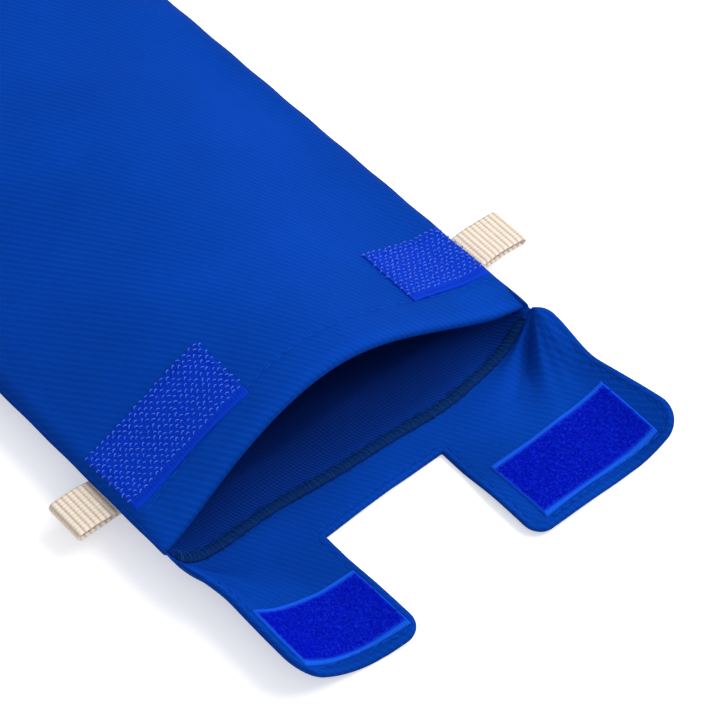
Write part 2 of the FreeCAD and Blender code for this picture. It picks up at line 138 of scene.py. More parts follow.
class Graph:
    """A material's node graph, with short ways to add to it."""

    def __init__(self, name: str) -> None:
        """Start a material with only a surface shader.

        Args:
            name: The material's name.
        """
        self.material = bpy.data.materials.new(name)
        self.material.use_nodes = True
        self.nodes = self.material.node_tree.nodes
        self.links = self.material.node_tree.links
        self.shader = self.nodes["Principled BSDF"]

    def add(self, kind: str, inputs: Optional[dict] = None, **settings: object) -> bpy.types.Node:
        """Add a node.

        Args:
            kind: The node's type, without its Shader prefix.
            inputs: Values or sockets, by the input's name or number.
            **settings: The node's own properties.

        Returns:
            The node.
        """
        node = self.nodes.new("ShaderNode" + kind)
        for key, value in settings.items():
            setattr(node, key, value)
        for key, value in (inputs or {}).items():
            self.feed(node.inputs[key], value)
        return node

    def feed(self, socket: bpy.types.NodeSocket, value: object) -> None:
        """Link a socket to another, or set its value."""
        if isinstance(value, bpy.types.NodeSocket):
            self.links.new(value, socket)
        else:
            socket.default_value = value

    def math(self, operation: str, *values: object) -> bpy.types.NodeSocket:
        """The result of a Math node."""
        node = self.add("Math", dict(enumerate(values)), operation=operation)
        return node.outputs[0]

    def mix(self, share: object, first: object, second: object) -> bpy.types.NodeSocket:
        """A colour between two, by a share from 0 to 1."""
        node = self.add("Mix", {0: share, 6: first, 7: second}, data_type="RGBA")
        return node.outputs[2]

    def along(self, vector: bpy.types.NodeSocket, way: Sequence[float]) -> bpy.types.NodeSocket:
        """The distance along a direction, in metres."""
        node = self.add("VectorMath", {0: vector, 1: tuple(way)}, operation="DOT_PRODUCT")
        return node.outputs["Value"]

    def noise(self, vector: object, scale: float, detail: float = 2.0) -> bpy.types.NodeSocket:
        """Noise with that many lumps to the metre."""
        node = self.add("TexNoise", {"Vector": vector, "Scale": scale, "Detail": detail})
        return node.outputs["Fac"]

    def bump(self, height: object, depth: float, under: object = None) -> bpy.types.NodeSocket:
        """A normal that follows a height from 0 to 1, depth metres deep."""
        node = self.add("Bump", {"Height": height, "Distance": depth, "Strength": 1.0})
        if under is not None:
            self.feed(node.inputs["Normal"], under)
        return node.outputs["Normal"]

    def surface(self, color: object, rough: object, normal: object, sheen: float,
                shine: float, glow: tuple) -> bpy.types.Material:
        """Set the surface shader and end the material.

        Args:
            color: The base colour.
            rough: The roughness.
            normal: The bumped normal.
            sheen: How strongly fine fibres catch the light.
            shine: The strength of plain reflections.
            glow: The tint of the sheen.

        Returns:
            The finished material.
        """
        values = {"Base Color": color, "Roughness": rough, "Normal": normal,
                  "Sheen Weight": sheen, "Sheen Tint": glow, "Specular IOR Level": shine}
        for name, value in values.items():
            self.feed(self.shader.inputs[name], value)
        return self.material

    def place(self) -> bpy.types.NodeSocket:
        """The object's own coordinates, in metres."""
        return self.add("TexCoord").outputs["Object"]

    def attribute(self, name: str) -> bpy.types.NodeSocket:
        """A number painted on the mesh."""
        return self.add("Attribute", attribute_name=name).outputs["Fac"]


def tone(color: Sequence[float], scale: float) -> tuple:
    """A colour made lighter or darker, opaque."""
    return tuple(min(c * scale, 1.0) for c in color) + (1.0,)


@dataclass(frozen=True)
class WovenFinish:
    """Cloth with diagonal wales, lighter at its folds and edges by painted light and wear, and darker
    in its stitch lines, creases and edges by painted shade.
    """

    name: str
    color: Sequence[float]
    wale: float = 1.5 * MM
    pick: float = 0.9 * MM
    wale_way: Sequence[float] = (0.877, 0.48, 0.0)
    depth: float = 0.09 * MM
    roughness: float = 0.86
    sheen: float = 0.25
    worn: float = 1.5

    def make(self) -> bpy.types.Material:
        """Build the material.

        Returns:
            The finished material.
        """
        g = Graph(self.name)
        place = g.place()
        warp = g.noise(place, 260.0)
        bend = g.math("MULTIPLY", g.math("SUBTRACT", warp, 0.5), 0.9)
        across = g.math("MULTIPLY", g.along(place, self.wale_way), math.tau / self.wale)
        across = g.math("ADD", across, bend)
        wave = g.math("MULTIPLY_ADD", g.math("SINE", across), 0.5, 0.5)
        ridge = g.math("POWER", wave, 1.9)
        weft_way = (-self.wale_way[1], self.wale_way[0], 0.0)
        run = g.math("MULTIPLY", g.along(place, weft_way), math.tau / self.pick)
        stagger = g.math("MULTIPLY", across, 0.5)
        yarn = g.math("MULTIPLY_ADD", g.math("SINE", g.math("ADD", run, stagger)), 0.5, 0.5)
        weave = g.math("ADD", g.math("MULTIPLY", ridge, 0.7), g.math("MULTIPLY", yarn, 0.3))
        fuzz = g.noise(place, 5200.0, 3.0)
        cloud = g.noise(place, 34.0, 3.0)
        wear = g.attribute("wear")
        mark = g.attribute("mark")
        streak = g.add("Mapping", {"Vector": place, "Rotation": (0.0, 0.0, -1.07),
                                   "Scale": (1.0, 4.5, 1.0)}).outputs[0]
        broken = g.math("MULTIPLY", weave, g.math("MULTIPLY_ADD", g.noise(streak, 420.0), 1.3, 0.3))
        color = g.mix(broken, tone(self.color, 0.8), tone(self.color, 1.3))
        color = g.mix(0.5, color, g.mix(cloud, tone(self.color, 0.62), tone(self.color, 1.38)))
        # Painted light and wear: lighter where the mesh says so, most on the raised weave.
        light_and_wear_share = g.math("MULTIPLY", wear, g.math("ADD", weave, 0.3))
        color = g.mix(light_and_wear_share, color, tone(self.color, self.worn))
        # Painted shade: darker where the mesh is marked, in grooves and creases, at edges and by the
        # mouth.
        color = g.mix(g.math("MULTIPLY", mark, 0.55), color, tone(self.color, 0.3))
        rough = g.math("MULTIPLY_ADD", fuzz, 0.12, self.roughness - 0.06)
        g.shader.inputs["Sheen Roughness"].default_value = 0.45
        crumple = g.bump(g.noise(place, 90.0, 3.0), 0.5 * MM)
        normal = g.bump(fuzz, 0.05 * MM, g.bump(weave, self.depth, crumple))
        return g.surface(color, rough, normal, self.sheen, 0.04, tone(self.color, 2.0))


@dataclass(frozen=True)
class PlainFinish:
    """Fine yarn, tape backing or thread: a mottled colour with a grain of its own size."""

    name: str
    color: Sequence[float]
    dark: float = 0.7
    grain: float = 3500.0
    depth: float = 0.06 * MM
    roughness: float = 0.6
    sheen: float = 0.1
    shine: float = 0.04
    rib: float = 0.0
    rib_way: Sequence[float] = (1.0, 0.0, 0.0)
    mark: Optional[Sequence[float]] = None

    def make(self) -> bpy.types.Material:
        """Build the material.

        Returns:
            The finished material.
        """
        g = Graph(self.name)
        place = g.place()
        grain = g.noise(place, self.grain, 3.0)
        cloud = g.noise(place, 180.0, 2.0)
        height = grain
        if self.rib:
            line = g.math("MULTIPLY", g.along(place, self.rib_way), math.tau / self.rib)
            height = g.math("MULTIPLY_ADD", g.math("SINE", line), 0.5, g.math("MULTIPLY", grain, 0.3))
        shade = g.math("MULTIPLY_ADD", grain, 0.6, g.math("MULTIPLY", cloud, 0.4))
        color = g.mix(shade, tone(self.color, self.dark), tone(self.color, 1.2))
        # Second colour: painted shade in stitch grooves, seams and rib valleys; on the loop tape it is
        # also the ground's own colour.
        deep = tone(self.mark, 1.0) if self.mark else tone(self.color, 0.45)
        broken = g.math("MULTIPLY", g.attribute("mark"), g.math("MULTIPLY_ADD", grain, 0.9, 0.4))
        color = g.mix(g.math("MINIMUM", broken, 1.0), color, deep)
        rough = g.math("MULTIPLY_ADD", cloud, 0.15, self.roughness)
        normal = g.bump(height, self.depth)
        return g.surface(color, rough, normal, self.sheen, self.shine, tone(self.color, 2.0))


@dataclass(frozen=True)
class Finishes:
    """Every material of the mitt."""

    twill: bpy.types.Material
    lining: bpy.types.Material
    batting: bpy.types.Material
    hook_base: bpy.types.Material
    hooks: bpy.types.Material
    loop_base: bpy.types.Material
    pile: bpy.types.Material
    webbing: bpy.types.Material
    thread: bpy.types.Material
    serging: bpy.types.Material
    serged_core: bpy.types.Material

    @classmethod
    def make(cls) -> "Finishes":
        """Build them all."""
        return cls(
            twill=WovenFinish("blue_twill", (0.0003, 0.046, 0.36)).make(),
            # The lining's dark colour also stands in for the shade inside the mitt; the large scale
            # below lightens it near the mouth as painted light.
            lining=WovenFinish(
                "navy_lining", (0.0004, 0.0105, 0.088), wale=0.8 * MM, depth=0.05 * MM, sheen=0.1,
                worn=3.6,
            ).make(),
            batting=PlainFinish("batting", (0.75, 0.75, 0.70), grain=900.0, depth=0.4 * MM).make(),
            hook_base=PlainFinish("hook_backing", (0.001, 0.036, 0.50), dark=0.85, rib=0.8 * MM).make(),
            hooks=PlainFinish(
                "hook_nylon", (0.045, 0.165, 0.82), roughness=0.3, sheen=0.0, shine=0.5
            ).make(),
            loop_base=PlainFinish(
                "loop_selvage", (0.006, 0.10, 0.72), rib=0.7 * MM, mark=(0.0006, 0.006, 0.50)
            ).make(),
            pile=PlainFinish("loop_pile", (0.0006, 0.008, 0.72), dark=0.75, grain=300.0).make(),
            # The webbing's second colour is painted shade in the valleys between its ribs.
            webbing=PlainFinish(
                "cream_webbing", (0.86, 0.74, 0.62), dark=0.9, grain=1300.0, depth=0.12 * MM,
                rib=0.95 * MM, rib_way=(0.0, 1.0, 0.0), mark=(0.46, 0.33, 0.22),
            ).make(),
            thread=PlainFinish("blue_thread", (0.001, 0.062, 0.46), roughness=0.5).make(),
            serging=PlainFinish("serging_thread", (0.012, 0.10, 0.36), dark=0.2, grain=500.0).make(),
            serged_core=PlainFinish("serged_edge", (0.001, 0.022, 0.125), grain=1500.0).make(),
        )


# ------------------------------------------------------------------ meshes


def piece(name: str, points: Array, faces: Sequence[Sequence[int]]) -> bpy.types.Object:
    """Make a smooth-shaded object at the origin.

    Args:
        name: The piece's name.
        points: One row per corner, in metres.
        faces: The corners of each face.

    Returns:
        The object, linked into the scene.
    """
    mesh = bpy.data.meshes.new(name)
    mesh.from_pydata(points.tolist(), [], [list(map(int, f)) for f in faces])
    mesh.validate()
    mesh.shade_smooth()
    obj = bpy.data.objects.new(name, mesh)
    bpy.context.scene.collection.objects.link(obj)
    return obj


def paint(obj: bpy.types.Object, name: str, values: Array) -> None:
    """Store a number on each corner of a mesh, for its material."""
    layer = obj.data.attributes.new(name, "FLOAT", "POINT")
    layer.data.foreach_set("value", np.asarray(values, np.float32).ravel())


def strip_faces(rows: int, columns: int, start: int = 0, wrap: bool = False) -> list:
    """The quads of a grid of corners.

    Args:
        rows: How many rows of corners.
        columns: How many corners in each row.
        start: The first corner's number.
        wrap: Whether the last row joins the first.

    Returns:
        The corners of each quad.
    """
    faces = []
    for i in range(rows if wrap else rows - 1):
        here, there = start + i * columns, start + ((i + 1) % rows) * columns
        for j in range(columns - 1):
            faces.append((here + j, here + j + 1, there + j + 1, there + j))
    return faces


def closed_faces(rows: int, columns: int) -> list:
    """The faces of two equal grids of corners, joined round their rims.

    Args:
        rows: How many rows of corners in each grid.
        columns: How many corners in each row.

    Returns:
        The corners of each face. The second grid's numbers follow the first's.
    """
    count = rows * columns
    faces = strip_faces(rows, columns)
    faces += [tuple(reversed(f)) for f in strip_faces(rows, columns, count)]
    ring = list(range(columns)) + [i * columns + columns - 1 for i in range(1, rows)]
    ring += [(rows - 1) * columns + j for j in range(columns - 2, -1, -1)]
    ring += [i * columns for i in range(rows - 2, 0, -1)]
    faces += [(a, a + count, b + count, b) for a, b in zip(ring, ring[1:] + ring[:1])]
    return faces


def same(points: Array) -> Array:
    """Leave points where they are."""
    return points


@dataclass
class Slab:
    """A closed piece of cloth over a grid of plan points, between two heights.

    The grid's rows run along +X and its columns along +Y, so its top faces look up.
    """

    x: Array
    y: Array
    top: Array
    bottom: Array

    def build(self, name: str, marks: Optional[dict] = None, lay: Bend = same
              ) -> bpy.types.Object:
        """Make the piece.

        Args:
            name: The piece's name.
            marks: Numbers for its material, such as painted light and shade, as one grid for the top
                face each.
            lay: Bends the finished corners into place.

        Returns:
            The object.
        """
        upper = np.stack([self.x, self.y, self.top], -1).reshape(-1, 3)
        lower = np.stack([self.x, self.y, np.minimum(self.bottom, self.top - THINNEST)], -1)
        points = np.concatenate([upper, lower.reshape(-1, 3)])
        obj = piece(name, lay(points), closed_faces(*self.x.shape))
        for key, values in (marks or {}).items():
            paint(obj, key, np.concatenate([values.ravel(), values.ravel()]))
        return obj


def even(start: float, end: float, count: int, crowd: float = 0.0) -> Array:
    """Numbers from start to end, crowded at both ends by a share from 0 to 1."""
    plain = np.linspace(0, 1, count)
    eased = (1 - np.cos(plain * math.pi)) / 2
    return start + (end - start) * ((1 - crowd) * plain + crowd * eased)


def dress(obj: bpy.types.Object, material: bpy.types.Material) -> bpy.types.Object:
    """Give a piece its material."""
    obj.data.materials.clear()
    obj.data.materials.append(material)
    LOG.info("%s: %d faces", obj.name, len(obj.data.polygons))
    return obj


# ------------------------------------------------------------------ repeated things


class Grower:
    """A geometry node tree that sets a small shape all along a path or over a surface."""

    def __init__(self, name: str, material: bpy.types.Material) -> None:
        """Start the tree.

        Args:
            name: The tree's name.
            material: The finish of what it grows.
        """
        self.tree = bpy.data.node_groups.new(name, "GeometryNodeTree")
        self.material = material
        self.sizes = {}
        self.socket("Geometry", "INPUT", "NodeSocketGeometry")
        self.socket("Geometry", "OUTPUT", "NodeSocketGeometry")
        self.source = self.tree.nodes.new("NodeGroupInput")
        self.drain = self.tree.nodes.new("NodeGroupOutput")

    def socket(self, name: str, way: str, kind: str) -> bpy.types.NodeTreeInterfaceSocket:
        """Add a named input or output to the tree."""
        return self.tree.interface.new_socket(name=name, in_out=way, socket_type=kind)

    def size(self, name: str, value: float) -> bpy.types.NodeSocket:
        """Add a named size and return its socket inside the tree."""
        entry = self.socket(name, "INPUT", "NodeSocketFloat")
        self.sizes[entry.identifier] = float(value)
        return self.source.outputs[name]

    def add(self, kind: str, inputs: Optional[dict] = None, **settings: object) -> bpy.types.Node:
        """Add a node, with its properties and inputs set."""
        node = self.tree.nodes.new(kind)
        for key, value in settings.items():
            setattr(node, key, value)
        for key, value in (inputs or {}).items():
            if isinstance(value, bpy.types.NodeSocket):
                self.tree.links.new(value, node.inputs[key])
            else:
                node.inputs[key].default_value = value
        return node

    def vector(self, x: object, y: object, z: object) -> bpy.types.NodeSocket:
        """Three numbers as one vector."""
        return self.add("ShaderNodeCombineXYZ", {0: x, 1: y, 2: z}).outputs[0]

    def random(self, low: float, high: float, seed: int) -> bpy.types.NodeSocket:
        """A random number for each point, the same ones every time."""
        node = self.add("FunctionNodeRandomValue", {2: low, 3: high, "Seed": seed})
        return node.outputs[1]

    def spots(self, step: object) -> bpy.types.NodeSocket:
        """Points along the guide's edges, one to each step."""
        path = self.add("GeometryNodeMeshToCurve", {0: self.source.outputs[0]})
        return self.add("GeometryNodeResampleCurve", {"Curve": path.outputs[0], "Length": step},
                        mode="LENGTH").outputs[0]

    def turned(self, kind: str, axis: str) -> bpy.types.NodeSocket:
        """The turn that lays an axis along the guide's tangent or normal."""
        way = self.add("GeometryNodeInput" + kind).outputs[0]
        return self.add("FunctionNodeAlignRotationToVector", {"Vector": way}, axis=axis).outputs[0]

    def arc(self, radius: object, wire: object, angles: tuple, steps: tuple,
            turn: tuple = (math.pi / 2, 0.0, 0.0), scale: tuple = (1.0, 1.0, 1.0)
            ) -> bpy.types.NodeSocket:
        """A standing arc of wire.

        Args:
            radius: The arc's radius.
            wire: The wire's radius.
            angles: Where the arc starts, and how far it goes.
            steps: Corners along the arc, and round the wire.
            turn: How the arc is stood up.
            scale: How it is squeezed, before the turn.

        Returns:
            Its mesh.
        """
        bend = self.add("GeometryNodeCurveArc", {
            "Resolution": steps[0], "Radius": radius,
            "Start Angle": angles[0], "Sweep Angle": angles[1]})
        ring = self.add("GeometryNodeCurvePrimitiveCircle", {"Resolution": steps[1], "Radius": wire})
        solid = self.add("GeometryNodeCurveToMesh", {0: bend.outputs[0], 1: ring.outputs[0]})
        return self.add("GeometryNodeTransform", {
            "Geometry": solid.outputs[0], "Rotation": turn, "Scale": scale}).outputs[0]

    def set_out(self, points: object, shape: object, turn: object, scale: object,
                twist: Optional[object] = None) -> None:
        """End the tree with a copy of a shape on each point, twisted if asked."""
        copies = self.add("GeometryNodeInstanceOnPoints", {
            "Points": points, "Instance": shape, "Rotation": turn, "Scale": scale})
        if twist is not None:
            copies = self.add("GeometryNodeRotateInstances",
                              {"Instances": copies.outputs[0], "Rotation": twist})
        self.finish(copies.outputs[0])

    def finish(self, instances: bpy.types.NodeSocket) -> None:
        """End the tree: real meshes, in the material."""
        real = self.add("GeometryNodeRealizeInstances", {"Geometry": instances})
        shaded = self.add(
            "GeometryNodeSetMaterial",
            {"Geometry": real.outputs[0], "Material": self.material},
        )
        self.tree.links.new(shaded.outputs[0], self.drain.inputs[0])

    def grow(self, guide: bpy.types.Object, slot: Slot) -> bpy.types.Object:
        """Turn a guide mesh into what the tree grows on it.

        Args:
            guide: A mesh of edges or faces, which the result replaces.
            slot: Not used.

        Returns:
            The same object, with a plain mesh and no modifier.
        """
        modifier = guide.modifiers.new("grow", "NODES")
        modifier.node_group = self.tree
        for identifier, value in self.sizes.items():
            modifier[identifier] = value
        graph = bpy.context.evaluated_depsgraph_get()
        made = bpy.data.meshes.new_from_object(guide.evaluated_get(graph))
        guide.modifiers.clear()
        guide.data = made
        made.shade_smooth()
        return dress(guide, self.material)


def stitch_grower(name: str, material: bpy.types.Material, pitch: float, share: float,
                  radius: float) -> Grower:
    """Straight stitches along a path, tapered at their ends.

    Args:
        name: The tree's name.
        material: The thread.
        pitch: From one stitch to the next.
        share: The part of that which shows as thread.
        radius: Half the thread's thickness.

    Returns:
        The tree.
    """
    g = Grower(name, material)
    step, part, thick = g.size("Pitch", pitch), g.size("Share", share), g.size("Radius", radius)
    bead = g.add("GeometryNodeMeshUVSphere", {"Segments": 8, "Rings": 6, "Radius": 1.0})
    long = g.add("ShaderNodeMath", {0: step, 1: part}, operation="MULTIPLY").outputs[0]
    half = g.add("ShaderNodeMath", {0: long, 1: 0.5}, operation="MULTIPLY").outputs[0]
    wobble = g.add("ShaderNodeMath", {0: half, 1: g.random(0.85, 1.1, 3)}, operation="MULTIPLY")
    g.set_out(g.spots(step), bead.outputs[0], g.turned("Tangent", "X"),
              g.vector(wobble.outputs[0], thick, thick))
    return g


def hook_grower(material: bpy.types.Material) -> Grower:
    """Small bent hooks, one on each corner of a guide surface."""
    g = Grower("hook_field", material)
    rise, wire = g.size("Hook Radius", 0.40 * MM), g.size("Wire Radius", 0.14 * MM)
    hook = g.arc(rise, wire, (-0.5, 3.7), (8, 6))
    turn, size = g.turned("Normal", "Z"), g.random(0.8, 1.12, 11)
    yaw = g.vector(0.0, g.random(-0.25, 0.25, 5), g.random(-0.5, 0.5, 8))
    g.set_out(g.source.outputs[0], hook, turn, size, yaw)
    return g


def pile_grower(material: bpy.types.Material) -> Grower:
    """Short tangled loops, strewn over a guide surface."""
    g = Grower("loop_pile", material)
    rise, wire = g.size("Loop Radius", 0.38 * MM), g.size("Fibre Radius", 0.075 * MM)
    density = g.size("Loops To The Square Metre", 5.6e6)
    spots = g.add("GeometryNodeDistributePointsOnFaces",
                  {"Mesh": g.source.outputs[0], "Density": density, "Seed": 4})
    loop = g.arc(rise, wire, (-0.3, 3.6), (7, 3))
    spin = g.vector(g.random(-0.9, 0.9, 31), g.random(-0.5, 0.5, 32), g.random(0.0, math.tau, 33))
    g.set_out(spots.outputs[0], loop, spots.outputs["Rotation"], g.random(0.6, 1.15, 21), spin)
    return g


def serging_grower(material: bpy.types.Material) -> Grower:
    """Slanted thread wraps along a serged edge."""
    g = Grower("serging", material)
    step = g.size("Pitch", 1.25 * MM)
    rise, wire = g.size("Wrap Radius", 1.7 * MM), g.size("Thread Radius", 0.10 * MM)
    wrap = g.arc(rise, wire, (-0.4, math.pi + 0.8), (12, 6), (math.pi / 2, 0.0, math.pi / 2),
                 (1.0, 1.0, 0.46))
    slant = g.vector(g.random(-0.25, 0.25, 12), 0.0, g.random(0.05, 0.75, 9))
    g.set_out(g.spots(step), wrap, g.turned("Tangent", "X"), g.random(0.8, 1.14, 6), slant)
    return g


def guide_line(name: str, points: Array, closed: bool = False) -> bpy.types.Object:
    """A chain of edges for a grower to follow."""
    count = len(points)
    edges = [(i, i + 1) for i in range(count - 1)] + ([(count - 1, 0)] if closed else [])
    mesh = bpy.data.meshes.new(name)
    mesh.from_pydata(np.asarray(points, float).tolist(), edges, [])
    obj = bpy.data.objects.new(name, mesh)
    bpy.context.scene.collection.objects.link(obj)
    return obj


def sew(name: str, path: Array, node: str, thread: bpy.types.Material, pitch: float,
        radius: float, share: float = 0.78, closed: bool = False) -> bpy.types.Object:
    """A row of stitches along a path.

    Args:
        name: The piece's name.
        path: The row's line.
        node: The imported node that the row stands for.
        thread: Its material.
        pitch: From one stitch to the next.
        radius: Half the thread's thickness.
        share: The part of the pitch which shows as thread.
        closed: Whether the row is a ring.

    Returns:
        The stitches.
    """
    row = guide_line(name, path, closed)
    stitch_grower(name + "_thread", thread, pitch, share, radius).grow(row, Slot.THREAD)
    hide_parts(node)
    return row


# ------------------------------------------------------------------ the mitt's form


# Creases at each of the mouth's corners: the angle in degrees from straight ahead, the height in
# millimetres and the width in degrees, by the sign of X.
CREASES = {-1: ((9, 1.5, 6), (22, -0.6, 6), (37, 1.6, 8), (60, -0.4, 9)),
           1: ((12, 1.3, 7), (27, 2.6, 9), (47, -1.6, 8), (66, 1.7, 10))}


@dataclass(frozen=True)
class Curl:
    """One flap's edges in the flat, and the arc in which its outer edge rises.

    Past start, measured from the middle, the flap follows an arc of that radius. Slant carries its
    outer edge back, and stretch its tip forward.
    """

    inner: float
    outer: float
    start: float
    radius: float
    slant: float
    stretch: float


@dataclass(frozen=True)
class Form:
    """The surfaces that every piece of the mitt is laid on."""

    half: float
    length: float
    crown_mouth: float
    crown_end: float = 17.0 * MM
    seam_mouth: float = 12.0 * MM
    seam_end: float = 7.5 * MM
    end_radius: float = 44.0 * MM
    retreat: float = 4.5 * MM
    front: float = -1.7 * MM
    quilt: float = 5.2 * MM
    hem: float = 10.6 * MM
    tip: float = -49.5 * MM
    notch_back: float = -15.0 * MM
    ply: float = 2.0 * MM
    bend: float = 5.0 * MM
    side_swell: float = 2.2 * MM
    end_taper: float = 52.0 * MM
    end_rise: float = 50.0 * MM
    quilt_edge: float = 15.0 * MM
    palm_edge: float = 7.0 * MM
    left: Curl = Curl(21.3 * MM, 58.5 * MM, 31.0 * MM, 33.0 * MM, 4.5 * MM, 2.3 * MM)
    right: Curl = Curl(16.6 * MM, 69.0 * MM, 46.0 * MM, 30.0 * MM, 0.0, 0.0)

    @classmethod
    def from_frame(cls) -> "Form":
        """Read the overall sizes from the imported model."""
        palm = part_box("palm_shell")[1]
        return cls(half=palm.x, length=palm.y, crown_mouth=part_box("back_shell")[1].z)

    def outline(self, y: Array) -> Array:
        """Half the width in plan, at y."""
        past = np.clip(y - (self.length - self.end_radius), 0, self.end_radius)
        return self.half - self.end_radius + np.sqrt(self.end_radius**2 - past**2)

    def seam(self, y: Array) -> Array:
        """The height of the side seams, at y."""
        return self.seam_mouth + (self.seam_end - self.seam_mouth) * y / self.length

    def lip(self, x: Array) -> Array:
        """How far behind the corners the lip lies, at x."""
        return self.retreat * (1 - (x / self.half) ** 2)

    def end_share(self, y: Array) -> Array:
        """0 at the closed end, rising to 1 well before it."""
        return dome(self.length - y, self.end_taper) ** 1.15

    def rumple(self, x: Array, y: Array) -> Array:
        """Slow, uneven waves of a soft panel."""
        waves = 0.50 * np.sin(x / 0.0135 + 1.3 + y / 0.060) * np.sin(y / 0.021 + 0.4)
        waves += 0.35 * np.sin(x / 0.0290 - 0.7) * np.sin(y / 0.0125 + x / 0.05 + 2.0)
        waves += 0.22 * np.sin(x / 0.0080 + y / 0.0105 + 0.5)
        return waves * MM

    def back(self, x: Array, y: Array) -> Array:
        """The outside of the back of the mitt."""
        width = self.outline(y)
        share = np.clip(x / width, -1, 1)
        along = np.clip(y, 0, None) / self.length
        crown = self.crown_mouth - (self.crown_mouth - self.crown_end) * along**1.3
        power = 1.6 - 0.75 * smooth(0.1, 1.0, along)
        arch = (1 - share**2) ** power
        lean = -1.9 * MM * np.sin(math.pi * share) * (1 - along)
        rise = (crown - self.seam(y)) * arch * self.end_share(y)
        step = self.side_swell * smooth(1 * MM, 12 * MM, y)
        side = dome((1 - np.abs(share)) * width, 3.5 * MM) * self.end_share(y)
        rise = rise * (1 - step / (21 * MM)) + step * side
        inside = np.clip((1 - np.abs(share)) * width / (9 * MM), 0, 1)
        pucker = 0.35 * MM * np.sin(y / 0.0031 + 0.8 * np.sin(y / 0.02))
        pucker = pucker * inside * np.exp(-((1 - np.abs(share)) * width) / (7 * MM))
        return self.seam(y) + rise + lean * inside + self.rumple(x, y) * inside + pucker

    def under(self, x: Array, y: Array) -> Array:
        """The outside of the palm."""
        share = np.clip(np.abs(x) / self.outline(y), 0, 1)
        late = np.clip((y - (self.length - self.end_rise)) / self.end_rise, 0, 1)
        return self.seam(y) * (1 - (1 - share**12) * (1 - late**9))

    def edge(self, x: Array, y: Array) -> Array:
        """How far inside the side seams and the closed end a point is."""
        return np.minimum(self.outline(y) - np.abs(x), self.length - y)

    def curl(self, x: Array) -> tuple:
        """Each point's own flap, as its inner edge and the other values of its Curl."""
        pairs = zip(vars(self.left).values(), vars(self.right).values())
        return tuple(np.where(x < 0, a, b) for a, b in pairs)

    def reach(self, y: Array) -> Array:
        """0 at the mouth, rising to 1 at the flaps' tips."""
        return np.clip((self.front - y) / (self.front - self.tip), 0, 1)

    def tongue_half(self, x: Array, y: Array) -> Array:
        """Half the tongue's flat width, on x's side, at y in front of the mouth."""
        return self.half + (self.curl(x)[1] - self.half) * np.sqrt(self.reach(y))

    def folds(self, x: Array, y: Array) -> Array:
        """Creases that fan out from the mouth's corners over the throat."""
        across, ahead = self.half - np.abs(x), self.front - y
        far = np.hypot(across, ahead)
        angle = np.degrees(np.arctan2(across, np.clip(ahead, 1e-9, None)))
        total = np.zeros_like(far)
        for sign, fan in CREASES.items():
            for middle, height, width in fan:
                bell = np.exp(-(((angle - middle) / width) ** 2))
                total += np.where(np.sign(x) == sign, height * MM * bell, 0)
        total *= np.clip(far / (6 * MM), 0, 1) * np.exp(-((far / (21 * MM)) ** 2))
        soft = 0.55 * MM * np.sin(x / 0.0075 + y / 0.019) * np.sin(y / 0.0088 + 1.0)
        return (total + soft) * smooth(0, 2.5 * MM, ahead)

    def turn_up(self, obj: bpy.types.Object) -> bpy.types.Object:
        """Bake a piece's transform into its mesh."""
        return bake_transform(obj)

    def lay(self, flat: Array) -> Array:
        """Bend the flat tongue into place.

        Args:
            flat: Points as x, y and the height over the cloth's underside.

        Returns:
            The points in space.
        """
        x, y, height = flat[:, 0], flat[:, 1], flat[:, 2]
        inner, outer, start, radius, slant, stretch = self.curl(x)
        far, reach = np.abs(x), self.reach(y)
        free = smooth(0.0, 0.42, reach)
        turn = np.clip(far - start, 0, None) / radius
        curled = np.minimum(far, start) + radius * np.sin(turn)
        rise = self.seam(y) * np.clip(far / self.half, 0, 1) ** 12
        rise = rise + (radius * (1 - np.cos(turn)) - rise) * free
        lifted = 1.6 * MM * np.exp(-np.clip(far - inner, 0, None) / (6 * MM))
        rise = rise + lifted * smooth(0.3, 0.7, reach)
        spread = far + (curled - far) * free
        tilt = turn * free
        base = np.clip(rise + self.folds(x, y), 0, None)
        place = np.sign(x) * (spread - np.sin(tilt) * height)
        slide = slant * np.clip(far - inner, 0, None) / (outer - inner)
        ahead = y + (slide - stretch * np.clip(far / inner, 0, 1)) * reach
        return np.stack([place, ahead, base + np.cos(tilt) * height], 1)


# ------------------------------------------------------------------ the mitt's body


# The first rows behind the lip, in millimetres, close together where the lip is rounded.
LIP_ROWS = (0, 0.15, 0.4, 0.8, 1.3, 1.9, 2.6, 3.4, 4.3)


